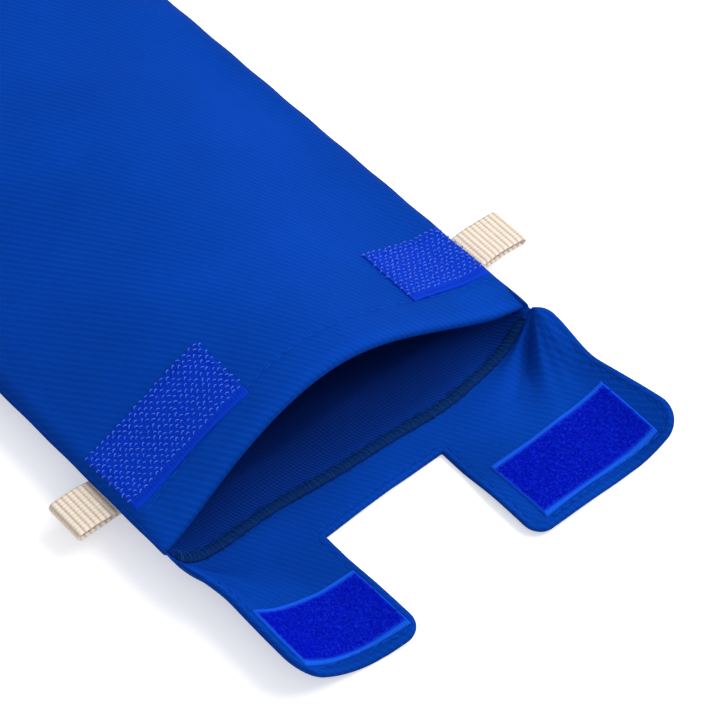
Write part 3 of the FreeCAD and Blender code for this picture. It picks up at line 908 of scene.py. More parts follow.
@dataclass
class Body:
    """The quilted back and palm, their linings, and the seams between them."""

    form: Form
    finish: Finishes
    columns: int = 150
    rows: int = 190
    flatten_keep: float = 0.15
    batting_start: float = 12.5 * MM
    batting_inset: float = 9.0 * MM
    batting_front: float = 4.0 * MM
    lining_start: float = 12.0 * MM
    lining_inset: float = 4.0 * MM
    lining_thick: float = 0.6 * MM
    palm_lining_inset: float = 1.6 * MM

    def flatten(self, obj: bpy.types.Object) -> bpy.types.Object:
        """Give a piece of the back a mesh of its own."""
        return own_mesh(obj)

    def back_grid(self, start: float, inset: float) -> tuple:
        """Plan points over the back, in rows that follow the lip's curve.

        Args:
            start: How far behind the lip the first row lies.
            inset: How far inside the outline the grid ends.

        Returns:
            The grid's x, its y, and how far each point is behind the lip.
        """
        f = self.form
        u = np.sin(even(-math.pi / 2, math.pi / 2, self.columns))
        share = even(0, 1, self.rows) ** 1.25
        near = np.array(LIP_ROWS) * MM
        end = f.length - inset
        behind = np.concatenate([near, near[-1] + share[1:] * (end - start - near[-1])])
        behind = behind[:, None] + start
        total = end - start
        first = f.lip(u * f.half)[None, :]
        y = first + behind - first * ((behind - start) / total)
        x = u[None, :] * (f.outline(y) - inset)
        return x, y, np.broadcast_to(behind, x.shape)

    def back_panel(self) -> bpy.types.Object:
        """The back: shell, insulation and the facing folded inside the lip, as one quilt."""
        f = self.form
        x, y, behind = self.back_grid(0.0, 0.0)
        edge = f.edge(x, y)
        lip = dome(behind, 1.3 * MM)
        thick = f.quilt * dome(edge, f.quilt_edge) * (0.5 + 0.5 * smooth(1 * MM, 10 * MM, behind))
        hem = np.clip(np.sin(np.clip(behind / f.hem, 0, 1) * math.pi), 0, 1) ** 0.6
        sewn = groove(behind, f.hem, 0.6 * MM)
        inside = np.clip(edge / (8 * MM), 0, 1)
        gather = 0.09 * MM * np.sin(x / 0.00125 + 1.7 * np.sin(x / 0.011))
        gather = gather * np.exp(-np.abs(behind - f.hem) / (2.4 * MM)) * inside
        top = f.back(x, y) + (0.2 * MM * hem - 0.22 * MM * sewn) * inside + gather
        top = top - thick * 0.5 * (1 - lip)
        bottom = f.back(x, y) - thick + thick * 0.5 * (1 - lip)
        # Painted light and wear: a lighter band along the lip's rounded top.
        wear = 0.3 * groove(behind, 1.6 * MM, 1.6 * MM)
        # Painted shade: in the hem's stitch groove, at the lip's edge and along the side seams.
        shade = 0.16 * sewn + 0.9 * np.exp(-behind / (0.5 * MM)) + 0.75 * np.exp(-edge / (2.6 * MM))
        marks = {"wear": np.clip(wear, 0, 1), "mark": np.clip(shade, 0, 1)}
        obj = Slab(x, y, top, bottom).build("back_panel", marks)
        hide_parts("back_shell", "mouth_hem_facing")
        return self.flatten(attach(dress(obj, self.finish.twill), "mitt"))

    def back_batting(self) -> bpy.types.Object:
        """The insulation that fills the back, inside the shell."""
        f = self.form
        x, y, behind = self.back_grid(self.batting_start, self.batting_inset)
        x, y, behind = x[::2, ::2], y[::2, ::2], behind[::2, ::2]
        middle = f.back(x, y) - f.quilt / 2
        half = 1.7 * MM * dome(behind - self.batting_start, 2 * MM)
        half = half * dome(f.edge(x, y) - self.batting_inset, 8 * MM)
        obj = Slab(x, y, middle + half, middle - half).build("back_batting")
        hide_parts("back_insulation")
        obj = dress(obj, self.finish.batting)
        return self.flatten(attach(obj, "mitt"))

    def back_lining(self) -> bpy.types.Object:
        """The lining over the hand, from the facing's edge to the closed end."""
        f = self.form
        x, y, _ = self.back_grid(self.lining_start, self.lining_inset)
        x, y = x[:, ::2], y[:, ::2]
        top = f.back(x, y) - f.quilt * dome(f.edge(x, y), f.quilt_edge) - 0.1 * MM
        top = top - 0.4 * MM * (1 + np.sin(x / 0.0042 + y / 0.011))
        thick = self.lining_thick * dome(f.edge(x, y) - self.lining_inset, 2 * MM)
        obj = Slab(x, y, top, top - thick).build("back_lining_cloth")
        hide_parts("back_lining")
        return self.flatten(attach(dress(obj, self.finish.lining), "mitt"))

    def palm_grid(self, start: float, inset: float) -> tuple:
        """Plan points over the palm, in straight rows."""
        f = self.form
        u = np.sin(even(-math.pi / 2, math.pi / 2, self.columns))
        share = even(0, 1, self.rows) ** 1.3
        y = (start + share * (f.length - inset - start))[:, None] + 0 * u[None, :]
        return u[None, :] * (f.outline(y) - inset), y

    def palm_thick(self, y: Array) -> Array:
        """The palm quilt's thickness, which swells behind the serged edge."""
        f = self.form
        return f.ply + (f.quilt - f.ply) * smooth(1.5 * MM, 10 * MM, y)

    def palm_panel(self) -> bpy.types.Object:
        """The palm: shell and insulation as one quilt, flat where the mitt lies on it."""
        f = self.form
        x, y = self.palm_grid(f.front, 0.0)
        edge = f.edge(x, y)
        bottom = f.under(x, y)
        thick = self.palm_thick(y) * dome(edge, f.palm_edge)
        # Painted light and wear: lighter along the side seams.
        wear = 0.2 * np.exp(-edge / (1.6 * MM))
        top = bottom + thick
        obj = Slab(x, y, top, bottom).build("palm_panel", {"wear": wear, "mark": 0 * wear})
        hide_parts("palm_shell", "seam_allowance")
        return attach(dress(obj, self.finish.twill), "mitt")

    def palm_batting(self) -> bpy.types.Object:
        """The insulation that fills the palm, inside the shell."""
        f = self.form
        x, y = self.palm_grid(self.batting_front, self.batting_inset)
        x, y = x[::2, ::2], y[::2, ::2]
        middle = f.under(x, y) + self.palm_thick(y) / 2
        half = 1.4 * MM * dome(f.edge(x, y) - self.batting_inset, 6 * MM)
        half = half * dome(y - self.batting_front, 4 * MM)
        obj = Slab(x, y, middle + half, middle - half).build("palm_batting")
        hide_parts("palm_insulation")
        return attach(dress(obj, self.finish.batting), "mitt")

    def floor_level(self, x: Array, y: Array) -> Array:
        """The height of the cloth under the mouth, on the palm and on the tongue."""
        f = self.form
        flat = np.stack([x, np.minimum(y, f.front), np.full_like(x, f.ply)], -1).reshape(-1, 3)
        ahead = f.lay(flat)[:, 2].reshape(x.shape)
        rim = dome(f.half - np.abs(x), f.palm_edge)
        return np.where(y < f.front, ahead - f.ply * (1 - rim),
                        f.under(x, y) + self.palm_thick(y) * dome(f.edge(x, y), f.palm_edge))

    def mouth_line(self, x: Array) -> Array:
        """Where the lining ends at the mouth: a line bowed outwards."""
        bow = 3.4 * MM * np.exp(-(((x - 21 * MM) / (30 * MM)) ** 2))
        bow = bow * smooth(0, 12 * MM, self.form.half - np.abs(x))
        return -1.1 * MM - bow + 0.3 * MM * np.sin(x / 0.006)

    def palm_lining(self) -> bpy.types.Object:
        """The lining under the hand, which meets the serged edge at the mouth."""
        f = self.form
        x, y = self.palm_grid(0.0, self.palm_lining_inset)
        first = self.mouth_line(x)
        y = first + y * (1 - first / (f.length - self.palm_lining_inset))
        bottom = self.floor_level(x, y) + 0.05 * MM
        wrinkle = 0.45 * MM * (1 + np.sin(x / 0.0052 + 1.2 * np.sin(y / 0.013)))
        wrinkle = wrinkle + 0.5 * MM * (1 + np.sin(x / 0.0125 - y / 0.009 + 2.0))
        bottom = bottom + wrinkle * smooth(1 * MM, 10 * MM, y) * dome(f.edge(x, y), 12 * MM)
        over = f.back(x, y) - f.quilt * dome(f.edge(x, y), f.quilt_edge) - f.seam(y)
        roof = f.seam(y) + self.flatten_keep * over - 1.4 * MM
        behind = smooth(3 * MM, 14 * MM, y)
        bottom = bottom + (np.minimum(bottom, roof) - bottom) * behind
        # Painted light: the lining is lighter near the mouth, where light falls in.
        light = {"wear": np.exp(-np.clip(y - self.mouth_line(x), 0, None) / (7 * MM))}
        obj = Slab(x, y, bottom + self.lining_thick, bottom).build("palm_lining_cloth", light)
        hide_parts("palm_lining")
        return f.turn_up(dress(obj, self.finish.lining))

    def mouth_path(self) -> Array:
        """The line of the serged edge, bowed outwards, over the palm panel's front."""
        f = self.form
        x = even(-0.965, 0.965, 110) * f.half
        y = self.mouth_line(x)
        return np.stack([x, y, self.floor_level(x, y) + 0.35 * MM], 1)

    def serged_edge(self) -> None:
        """The rolled edge of the lining seam and the thread wrapped over it."""
        path = self.mouth_path()
        core = tube("serged_core", path, 1.5 * MM, flatten=0.4)
        dress(core, self.finish.serged_core)
        wraps = guide_line("serged_wraps", path)
        serging_grower(self.finish.serging).grow(wraps, Slot.OVERLOCK)
        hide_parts("lining_overlock")
        for obj in (core, wraps):
            self.form.turn_up(obj)

    def side_seams(self) -> bpy.types.Object:
        """The ridge of sewn cloth round both sides and the closed end."""
        f = self.form
        y = even(f.front + 1 * MM, f.length, 260, 0.35)
        half = f.outline(y)
        left = np.stack([-half, y, f.seam(y)], 1)
        right = np.stack([half, y, f.seam(y)], 1)[::-1]
        path = np.concatenate([left, right])
        path[:, 2] += 0.15 * MM * np.sin(path[:, 1] / 0.0026)
        obj = tube("side_seam_ridge", path, 0.5 * MM)
        # Painted shade: the whole ridge is darkened.
        paint(obj, "mark", np.full(len(obj.data.vertices), 0.9))
        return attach(dress(obj, self.finish.twill), "mitt")

    def hem_stitches(self) -> bpy.types.Object:
        """The row of stitches behind the lip."""
        f = self.form
        x = even(-0.93, 0.93, 120) * f.half
        y = f.lip(x) + f.hem
        path = np.stack([x, y, f.back(x, y) - 0.2 * MM], 1)
        row = sew("hem_stitch_row", path, "hem_stitching", self.finish.thread, 3.3 * MM, 0.2 * MM)
        return self.flatten(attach(row, "mitt"))

    def build(self) -> None:
        """Make every piece of the body."""
        self.back_panel()
        self.back_batting()
        self.back_lining()
        self.palm_panel()
        self.palm_batting()
        self.palm_lining()
        self.serged_edge()
        self.side_seams()
        self.hem_stitches()


def tube(name: str, path: Array, radius: float, flatten: float = 1.0, sides: int = 10
         ) -> bpy.types.Object:
    """A closed tube along a path that stays near level.

    Args:
        name: The piece's name.
        path: Its centre line, one row per point.
        radius: Half its width.
        flatten: Its height over its width.
        sides: Corners round it.

    Returns:
        The object.
    """
    way = np.gradient(path, axis=0)
    way /= np.linalg.norm(way, axis=1, keepdims=True)
    side = np.cross(way, [0.0, 0.0, 1.0])
    side /= np.linalg.norm(side, axis=1, keepdims=True)
    up = np.cross(side, way)
    count = len(path)
    taper = dome(np.minimum(np.arange(count), np.arange(count)[::-1]) + 0.3, 3.0)[:, None]
    rings = []
    for angle in np.arange(sides) * math.tau / sides:
        out = side * math.cos(angle) + up * math.sin(angle) * flatten
        rings.append(path + out * radius * taper)
    points = np.concatenate(rings)
    faces = [tuple(reversed(f)) for f in strip_faces(sides, count, wrap=True)]
    faces.append([i * count for i in range(sides)])
    faces.append([i * count + count - 1 for i in range(sides)][::-1])
    return piece(name, points, faces)


# ------------------------------------------------------------------ the tongue and its flaps


@dataclass
class Tongue:
    """The throat in front of the mouth, and the two flaps that close the mitt."""

    form: Form
    finish: Finishes
    stitch_inset: float = 2.0 * MM
    outer_radius: float = 8.0 * MM
    inner_radius: float = 5.0 * MM
    stitch_pitch: float = 3.0 * MM
    thread_radius: float = 0.17 * MM
    sunk: float = 0.10 * MM
    fold_end: float = -20.5 * MM
    flap_steps: int = 84
    crowding: float = 0.75

    def cloth(self, name: str, x: Array, y: Array, edge: Array) -> bpy.types.Object:
        """A double ply of twill with turned edges and a sewn line inside them.

        Args:
            name: The piece's name.
            x: The grid's x.
            y: The grid's y.
            edge: How far inside the cloth's free edges each point is.

        Returns:
            The object.
        """
        f = self.form
        fade = smooth(0, 5 * MM, f.front - y)
        round_edge = 1 - (1 - dome(edge, 1.1 * MM)) * smooth(0, 0.5 * MM, f.front - y)
        sewn = groove(edge, self.stitch_inset, 0.5 * MM) * fade
        run = np.sin((x + y) / 0.00062 + np.sin((x - y) / 0.004))
        pucker = 0.07 * MM * run * np.exp(-np.abs(edge - self.stitch_inset) / (2.0 * MM)) * fade
        side = dome(f.tongue_half(x, y) - np.abs(x), f.palm_edge)
        meet = f.ply * (side + (1 - side) * fade)
        top = meet / 2 * (1 + round_edge) - 0.18 * MM * sewn + pucker
        bottom = meet / 2 * (1 - round_edge)
        # Painted light and wear: lighter just inside the free edges.
        wear = 0.25 * groove(edge, 0.8 * MM, 0.8 * MM) * fade
        # Painted shade: in the creases, in the sewn groove, at the free edges and on the throat next to
        # the mouth.
        crease = smooth(0.2 * MM, 1.6 * MM, 0.5 * MM - self.form.folds(x, y))
        shade = (0.1 * sewn + 0.75 * np.exp(-edge / (0.35 * MM))) * fade + 0.55 * crease
        shade = shade + 0.5 * np.exp(-np.clip(f.front - y, 0, None) / (4.5 * MM))
        marks = {"wear": np.clip(wear, 0, 1), "mark": np.clip(shade, 0, 1)}
        obj = Slab(x, y, top, bottom).build(name, marks, f.lay)
        return dress(obj, self.finish.twill)

    def throat(self) -> bpy.types.Object:
        """From the mouth to the notch between the flaps."""
        f = self.form
        y = even(f.notch_back, f.front, 44)[:, None]
        x = self.root_row()[None, :] + 0 * y
        y = y + 0 * x
        x = x * f.tongue_half(x, y) / f.tongue_half(x, np.full_like(x, f.notch_back))
        past_notch = np.clip(np.abs(x) - f.curl(x)[0], 0, None)
        corner = np.hypot(past_notch, y - f.notch_back)
        edge = np.minimum(f.tongue_half(x, y) - np.abs(x), corner)
        obj = self.cloth("throat_cloth", x, y, edge)
        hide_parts("tongue_shell", "tongue_facing")
        return f.turn_up(obj)

    def flap_row(self, side: Side) -> Array:
        """Distances from the middle across a flap's root, crowded at its edges."""
        x = np.array([side.value * 1.0])
        outer = float(self.form.tongue_half(x, np.array([self.form.notch_back]))[0])
        return even(float(self.form.curl(x)[0][0]), outer, self.flap_steps,
                    self.crowding)

    def root_row(self) -> Array:
        """The tongue's grid along the line where the flaps begin."""
        left, right = self.flap_row(Side.LEFT), self.flap_row(Side.RIGHT)
        middle = even(-left[0], right[0], 60, 0.5)[1:-1]
        return np.concatenate([-left[::-1], middle, right])

    def flap_limits(self, side: Side, y: Array, inset: float = 0.0) -> tuple:
        """A flap's inner and outer distance from the middle, with its rounded corners.

        Args:
            side: The flap.
            y: Places along it.
            inset: How far inside the outline to stay.

        Returns:
            The inner and the outer distance at each y.
        """
        f = self.form
        sign = np.full_like(y, side.value)
        outer = f.tongue_half(sign, y) - inset
        inner = f.curl(sign)[0] + inset
        ahead = y - (f.tip + inset)
        for radius, way in ((self.outer_radius - inset, -1), (self.inner_radius - inset, 1)):
            past = np.clip(radius - ahead, 0, radius)
            cut = radius - np.sqrt(np.clip(radius**2 - past**2, 0, None))
            if way < 0:
                outer = outer - cut
            else:
                inner = inner + cut
        return inner, outer

    def flap_grid(self, side: Side) -> tuple:
        """A flap's grid: distances from the middle, y, and the distance to its outline."""
        f = self.form
        y = even(f.tip, f.notch_back, self.flap_steps, self.crowding)[:, None]
        inner, outer = self.flap_limits(side, y)
        row = self.flap_row(side)
        share = ((row - row[0]) / (row[-1] - row[0]))[None, :]
        x = inner + share * (outer - inner)
        y = y + 0 * x
        sign = np.full_like(x, side.value)
        low, high = f.curl(sign)[0], f.tongue_half(sign, y)
        edge = np.minimum(np.minimum(x - low, high - x), y - f.tip)
        for radius, dx in ((self.outer_radius, x - (high - self.outer_radius)),
                           (self.inner_radius, low + self.inner_radius - x)):
            dy = f.tip + radius - y
            edge = np.where((dx > 0) & (dy > 0), radius - np.hypot(dx, dy), edge)
        return x, y, np.clip(edge, 0, None)

    def flap(self, side: Side) -> bpy.types.Object:
        """One flap's two plies of twill."""
        x, y, edge = self.flap_grid(side)
        if side is Side.LEFT:
            x, y, edge = -x[:, ::-1], y[:, ::-1], edge[:, ::-1]
        obj = self.cloth(f"{side.word}_flap_cloth", x, y, edge)
        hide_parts(f"{side.word}_flap_shell", f"{side.word}_flap_facing")
        inner, outer = self.form.curl(np.array([side.value * 1.0]))[:2]
        return self.fold(obj, side)

    def fold(self, obj: bpy.types.Object, side: Side) -> bpy.types.Object:
        """Bake a flap's piece's transform into its mesh."""
        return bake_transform(obj)

    def on_cloth(self, x: Array, y: Array, lift: float) -> Array:
        """Points over the tongue's upper face."""
        return self.form.lay(np.stack([x, y, np.full_like(x, self.form.ply + lift)], 1))

    def edge_stitches(self, side: Side) -> bpy.types.Object:
        """The topstitching round a flap's free edges."""
        f = self.form
        y = even(f.notch_back - 1 * MM, f.tip + self.stitch_inset, 90, 0.6)
        inner, outer = self.flap_limits(side, y, self.stitch_inset)
        x = np.concatenate([inner, outer[::-1]]) * side.value
        path = self.on_cloth(x, np.concatenate([y, y[::-1]]), -self.sunk)
        row = sew(f"{side.word}_flap_stitch_row", path, f"{side.word}_flap_topstitch",
                  self.finish.thread, self.stitch_pitch, self.thread_radius, 0.8)
        return self.fold(row, side)

    def throat_stitches(self) -> bpy.types.Object:
        """The topstitching along the notch's back edge."""
        f = self.form
        x = even(-f.left.inner, f.right.inner, 40)
        path = self.on_cloth(x, np.full_like(x, f.notch_back + self.stitch_inset), -self.sunk)
        row = sew("throat_stitch_row", path, "throat_topstitch", self.finish.thread,
                  self.stitch_pitch, self.thread_radius, 0.8)
        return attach(row, "tongue")

    def build(self) -> None:
        """Make the throat, both flaps and their stitching."""
        self.throat()
        self.throat_stitches()
        for side in Side:
            self.flap(side)
            self.edge_stitches(side)


# ------------------------------------------------------------------ hook and loop tapes


@dataclass(frozen=True)
class Kind:
    """What sets hook tape and loop tape apart.

    Spans are where each side's tape starts and ends in X, and margins its bare edges: at each end
    in X, at the front and at the back. Cover is what grows on it, lift how far over the backing it
    does, and pitch its spacing along X and Y.
    """

    word: str
    slot: Slot
    cover: str
    left: tuple
    right: tuple
    backing: float
    margins: tuple
    pitch: tuple
    lift: float = 0.0
    ground: float = 0.0

    def span(self, side: Side) -> tuple:
        """Where a side's tape starts and ends."""
        return self.left if side is Side.LEFT else self.right


HOOK_PITCH = 1.6 * MM
HOOK = Kind(
    "hook", Slot.HOOK, "hooks", (-56.2 * MM, -21.0 * MM), (31.8 * MM, 57.4 * MM), 0.55 * MM,
    (0.5 * MM, 2.6 * MM, 0.4 * MM), (HOOK_PITCH, 0.68 * HOOK_PITCH), lift=0.05 * MM,
)
LOOP = Kind(
    "loop", Slot.LOOP, "pile", (-56.0 * MM, -23.2 * MM), (22.2 * MM, 61.0 * MM), 0.6 * MM,
    (0.7 * MM, 1.7 * MM, 1.9 * MM), (0.9 * MM, 0.9 * MM), ground=1.0,
)


@dataclass(frozen=True)
class Bed:
    """What a tape is sewn to: its height in the flat, and how that is bent into place."""

    height: Field
    lay: Bend = same


@dataclass
class Tapes:
    """The hook tapes on the back and the loop tapes on the flaps."""

    body: Body
    tongue: Tongue
    slack: float = 3.0 * MM
    stitch_inset: float = 1.5 * MM
    stitch_pitch: float = 2.6 * MM
    sunk: float = 0.1 * MM

    def strip(self, name: str, low: Vector, high: Vector, bed: Bed, thick: float,
              ground: float = 0.0) -> bpy.types.Object:
        """A flat tape laid on a surface.

        Args:
            name: The piece's name.
            low: The lowest corner of its place.
            high: The highest corner of its place.
            bed: What it lies on.
            thick: The tape's thickness.
            ground: How strongly the finish's second colour shows inside the selvages.

        Returns:
            The object.
        """
        x, y = np.meshgrid(even(low.x, high.x, 78, 0.5), even(low.y, high.y, 46, 0.5))
        wander = 0.25 * MM * np.sin(x / 0.006 + y / 0.01)
        y = y + wander * np.abs(y - (low.y + high.y) / 2) / (10 * MM)
        edge = np.minimum(np.minimum(x - low.x, high.x - x), np.minimum(y - low.y, high.y - y))
        edge = np.clip(edge, 0, None)
        round_edge = dome(edge, 0.5 * MM)
        sewn = groove(edge, self.stitch_inset, 0.45 * MM)
        level = bed.height(x, y)
        top = level + thick * (0.25 + 0.75 * round_edge) - 0.12 * MM * sewn
        selvage = np.minimum(np.minimum(y - low.y, high.y - y), 2 * (edge + 0.2 * MM))
        # Painted shade in the sewn groove; on loop tape also the ground's own colour inside the
        # selvages.
        mark = np.maximum(0.3 * sewn, ground * smooth(0.7 * MM, 1.5 * MM, selvage))
        return Slab(x, y, top, level - 0.3 * MM).build(name, {"mark": mark}, bed.lay)

    def stitch_ring(self, side: Side, kind: str, low: Vector, high: Vector, bed: Bed,
                    lift: float) -> bpy.types.Object:
        """The row of stitches round a tape."""
        i = self.stitch_inset
        corners = [(low.x + i, low.y + i), (high.x - i, low.y + i), (high.x - i, high.y - i),
                   (low.x + i, high.y - i)]
        places = []
        for (x0, y0), (x1, y1) in zip(corners, corners[1:] + corners[:1]):
            share = np.linspace(0, 1, 24)[:-1]
            places.append(np.stack([x0 + (x1 - x0) * share, y0 + (y1 - y0) * share], 1))
        flat = np.concatenate(places)
        height = bed.height(flat[:, 0], flat[:, 1]) + lift
        return sew(f"{side.word}_{kind}_stitch_row", bed.lay(np.column_stack([flat, height])),
                   f"{side.word}_{kind}_stitching", self.body.finish.hook_base, self.stitch_pitch,
                   self.tongue.thread_radius, closed=True)

    def field(self, name: str, low: Vector, high: Vector, margins: tuple, bed: Bed,
              lift: float, pitch: tuple) -> bpy.types.Object:
        """A guide surface over a tape, staggered row by row.

        Args:
            name: The guide's name.
            low: The tape's lowest corner.
            high: The tape's highest corner.
            margins: Bare edges at each end in X, at the front and at the back.
            bed: What the tape lies on.
            lift: How far above it the guide lies.
            pitch: Spacing along X and along Y.

        Returns:
            The guide.
        """
        side, front, back = margins
        columns = max(int((high.x - low.x - 2 * side) / pitch[0]), 2)
        rows = max(int((high.y - low.y - front - back) / pitch[1]), 2)
        x, y = np.meshgrid(np.linspace(low.x + side, high.x - side, columns),
                           np.linspace(low.y + front, high.y - back, rows))
        x = x + np.where(np.arange(rows) % 2, 0.25, -0.25)[:, None] * pitch[0]
        stray = np.random.default_rng(7).uniform(-0.16, 0.16, (2,) + x.shape)
        x, y = x + stray[0] * pitch[0], y + stray[1] * pitch[1]
        points = np.stack([x, y, bed.height(x, y) + lift], -1).reshape(-1, 3)
        return piece(name, bed.lay(points), strip_faces(rows, columns))

    def place(self, node: str, span: tuple) -> tuple:
        """A tape's lowest and highest corner, at its node's own y."""
        low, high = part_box(node)
        return Vector((span[0], low.y, 0)), Vector((span[1], high.y, 0))

    def tape(self, kind: Kind, side: Side, bed: Bed, base: bpy.types.Material,
             grower: Grower) -> list:
        """One tape: its backing, what grows on it, and its stitching.

        Args:
            kind: Hook or loop.
            side: Which of the two.
            bed: What it lies on.
            base: The backing's material.
            grower: The tree of what grows on it.

        Returns:
            The three pieces.
        """
        node = f"{side.word}_{kind.word}_tape"
        low, high = self.place(node, kind.span(side))
        strip = self.strip(f"{side.word}_{kind.word}_backing", low, high, bed, kind.backing,
                           kind.ground)
        dress(strip, base)
        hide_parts(node)
        cover = self.field(f"{side.word}_{kind.cover}", low, high, kind.margins, bed,
                           kind.backing + kind.lift, kind.pitch)
        grower.grow(cover, kind.slot)
        ring = self.stitch_ring(side, kind.word, low, high, bed, kind.backing - self.sunk)
        return [strip, cover, ring]

    def build(self) -> None:
        """Make all four tapes."""
        form, finish = self.body.form, self.body.finish
        flap = Bed(lambda x, y: np.full_like(x, form.ply), form.lay)
        for side in Side:
            for obj in self.tape(HOOK, side, Bed(form.back), finish.hook_base,
                                 hook_grower(finish.hooks)):
                self.body.flatten(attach(obj, "mitt"))
            for obj in self.tape(LOOP, side, flap, finish.loop_base,
                                 pile_grower(finish.pile)):
                self.tongue.fold(obj, side)


# ------------------------------------------------------------------ webbing loops


@dataclass
class WebbingLoop:
    """A folded length of ribbed webbing, caught in a side seam."""

    form: Form
    finish: Finishes
    side: Side
    ply: float = 1.0 * MM
    eye: float = 1.1 * MM
    rib: float = 1.55 * MM
    droop: float = math.radians(3)
    root_height: float = 8.8 * MM

    @property
    def reach(self) -> float:
        """How far the loop sticks out of its seam."""
        return (11.5 if self.side is Side.LEFT else 17.0) * MM

    def centre_line(self) -> tuple:
        """The webbing's own line, out along one ply, round the fold and back along the other.

        Returns:
            Distances along the loop's axis, distances across it, and the unit normals.
        """
        bend = (self.eye + self.ply) / 2
        inside = -3.0 * MM
        straight = np.linspace(inside, self.reach - bend - self.ply / 2, 90)
        open_share = smooth(-1 * MM, 5 * MM, straight)
        spread = self.ply / 2 + (bend - self.ply / 2) * open_share
        angle = np.linspace(math.pi / 2, -math.pi / 2, 26)[1:-1]
        along = np.concatenate([straight, straight[-1] + bend * np.cos(angle), straight[::-1]])
        across = np.concatenate([spread, bend * np.sin(angle), -spread[::-1]])
        way = np.stack([np.gradient(along), np.gradient(across)], 1)
        way /= np.linalg.norm(way, axis=1, keepdims=True)
        return along, across, np.stack([-way[:, 1], way[:, 0]], 1)

    def build(self) -> bpy.types.Object:
        """Make the loop.

        Returns:
            The object.
        """
        low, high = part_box(f"{self.side.word}_webbing_loop")
        along, across, normal = self.centre_line()
        step = np.hypot(np.gradient(along), np.gradient(across))
        run = np.cumsum(step)
        ridge = np.abs(np.sin(math.pi * run / self.rib)) ** 0.7
        sign = self.side.value
        out = np.array([sign * math.cos(self.droop), 0, -math.sin(self.droop)])
        up = np.array([sign * math.sin(self.droop), 0, math.cos(self.droop)])
        root = np.array([sign * (self.form.half + 0.3 * MM), 0, self.root_height])
        width = even(low.y, high.y, 14, 0.6)
        edge = np.minimum(width - low.y, high.y - width)
        selvage = dome(edge, 0.7 * MM)
        layers, marks = [], []
        for face in (1, -1):
            half = (self.ply / 2 - 0.24 * MM * (1 - ridge))[:, None] * (0.35 + 0.65 * selvage)
            a = along[:, None] + face * normal[:, :1] * half
            b = across[:, None] + face * normal[:, 1:] * half
            place = root + a[..., None] * out + b[..., None] * up
            place[..., 1] += width[None, :] + 0.5 * MM * np.sin(a / 0.006)
            place[..., 2] = np.maximum(place[..., 2], 0.1 * MM)
            layers.append(place)
            # Painted shade in the valleys between the ribs.
            marks.append(np.broadcast_to((1 - ridge)[:, None], half.shape))
        obj = self.skin(layers, marks)
        dress(obj, self.finish.webbing)
        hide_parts(f"{self.side.word}_webbing_loop")
        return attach(obj, f"{self.side.word}_webbing")

    def skin(self, layers: list, marks: list) -> bpy.types.Object:
        """Close the webbing's two faces into one piece."""
        points = np.concatenate([layer.reshape(-1, 3) for layer in layers])
        faces = closed_faces(*layers[0].shape[:2])
        obj = piece(f"{self.side.word}_webbing", points, faces)
        obj.data.update()
        if signed_volume(obj.data) < 0:
            obj.data.flip_normals()
        paint(obj, "mark", np.concatenate([m.ravel() for m in marks]))
        return obj


def signed_volume(mesh: bpy.types.Mesh) -> float:
    """A closed mesh's volume, negative where it is inside out."""
    total = 0.0
    for face in mesh.polygons:
        corners = [mesh.vertices[i].co for i in face.vertices]
        for b, c in zip(corners[1:], corners[2:]):
            total += corners[0].dot(b.cross(c)) / 6
    return total


# ------------------------------------------------------------------ the setting


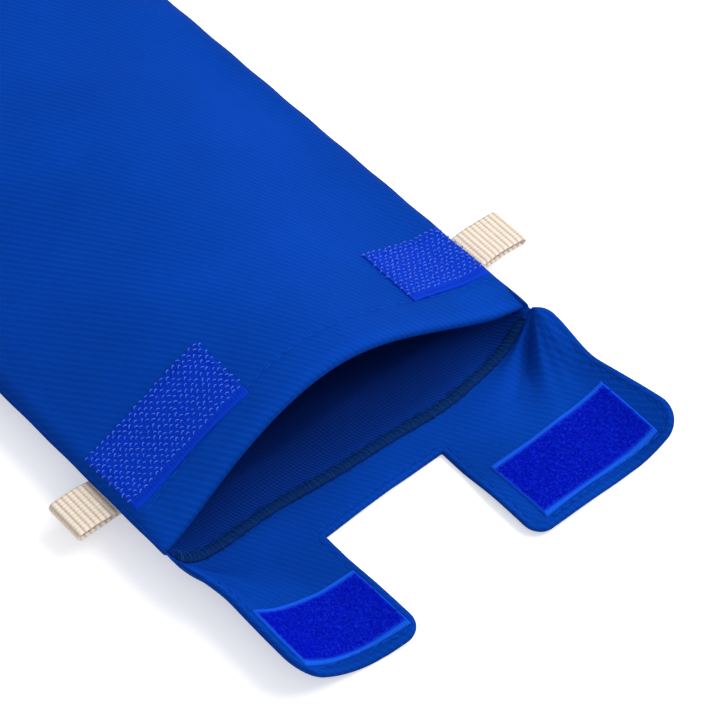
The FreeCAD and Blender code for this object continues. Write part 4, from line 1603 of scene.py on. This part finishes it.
@dataclass
class Studio:
    """The pale floor, the soft lamps and the camera."""

    azimuth: float = math.radians(-40.7)
    elevation: float = math.radians(51.7)
    distance: float = 0.759
    lens: float = 150.0
    target: tuple = (0.021, 0.0211, 0.0)
    daylight: float = 0.55
    floor_glow: float = 0.42
    floor_half: float = 3.0

    def camera(self) -> None:
        """Set the camera up at the viewing angle."""
        a, e = self.azimuth, self.elevation
        back = Vector((math.sin(a) * math.cos(e), -math.cos(a) * math.cos(e), math.sin(e)))
        data = bpy.data.cameras.new("camera")
        data.lens = self.lens
        data.sensor_width = 36.0
        data.clip_start = 0.01
        obj = bpy.data.objects.new("camera", data)
        obj.location = Vector(self.target) + back * self.distance
        obj.rotation_euler = (-back).to_track_quat("-Z", "Y").to_euler()
        bpy.context.scene.collection.objects.link(obj)
        bpy.context.scene.camera = obj

    def lamp(self, name: str, place: Sequence[float], size: float, power: float) -> None:
        """A square soft lamp, aimed at the mitt."""
        data = bpy.data.lights.new(name, "AREA")
        data.size = size
        data.energy = power
        obj = bpy.data.objects.new(name, data)
        obj.location = place
        way = Vector((0, 0.05, 0)) - Vector(place)
        obj.rotation_euler = way.to_track_quat("-Z", "Y").to_euler()
        bpy.context.scene.collection.objects.link(obj)

    def floor(self) -> None:
        """A wide pale floor, which the camera sees as near white."""
        g = Graph("pale_floor")
        g.shader.inputs["Base Color"].default_value = (0.86, 0.86, 0.87, 1.0)
        g.shader.inputs["Roughness"].default_value = 0.9
        rays = g.add("LightPath")
        seen = g.math("MAXIMUM", rays.outputs["Is Camera Ray"], rays.outputs["Is Glossy Ray"])
        g.shader.inputs["Emission Color"].default_value = (1.0, 1.0, 1.0, 1.0)
        g.feed(g.shader.inputs["Emission Strength"], g.math("MULTIPLY", seen, self.floor_glow))
        half = self.floor_half
        corners = np.array([(-half, -half, 0), (half, -half, 0), (half, half, 0), (-half, half, 0)])
        floor = piece("floor", corners, [(0, 1, 2, 3)])
        floor.data.materials.append(g.material)

    def world(self) -> None:
        """Even, pale light from all round."""
        world = bpy.data.worlds.new("studio")
        world.use_nodes = True
        bpy.context.scene.world = world
        background = world.node_tree.nodes["Background"]
        background.inputs["Color"].default_value = (0.95, 0.97, 1.0, 1.0)
        background.inputs["Strength"].default_value = self.daylight

    def build(self) -> None:
        """Make the camera, the lamps, the floor and the world."""
        self.camera()
        self.lamp("key", (0.66, -0.22, 0.85), 0.8, 9.8)
        self.lamp("fill", (-0.4, -0.6, 0.8), 0.8, 1.6)
        self.floor()
        self.world()
        bpy.context.scene.view_settings.view_transform = "Standard"


def main() -> None:
    """Build the setting and every piece of the mitt."""
    logging.basicConfig(level=logging.INFO, format="%(name)s %(message)s")
    Studio().build()
    finish = Finishes.make()
    form = Form.from_frame()
    body = Body(form, finish)
    body.build()
    tongue = Tongue(form, finish)
    tongue.build()
    Tapes(body, tongue).build()
    for side in Side:
        WebbingLoop(form, finish, side).build()
        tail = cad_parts[f"{side.word}_webbing_tail"]
        tail.data.materials.clear()
        tail.data.materials.append(finish.webbing)


if __name__ == "__main__":
    main()
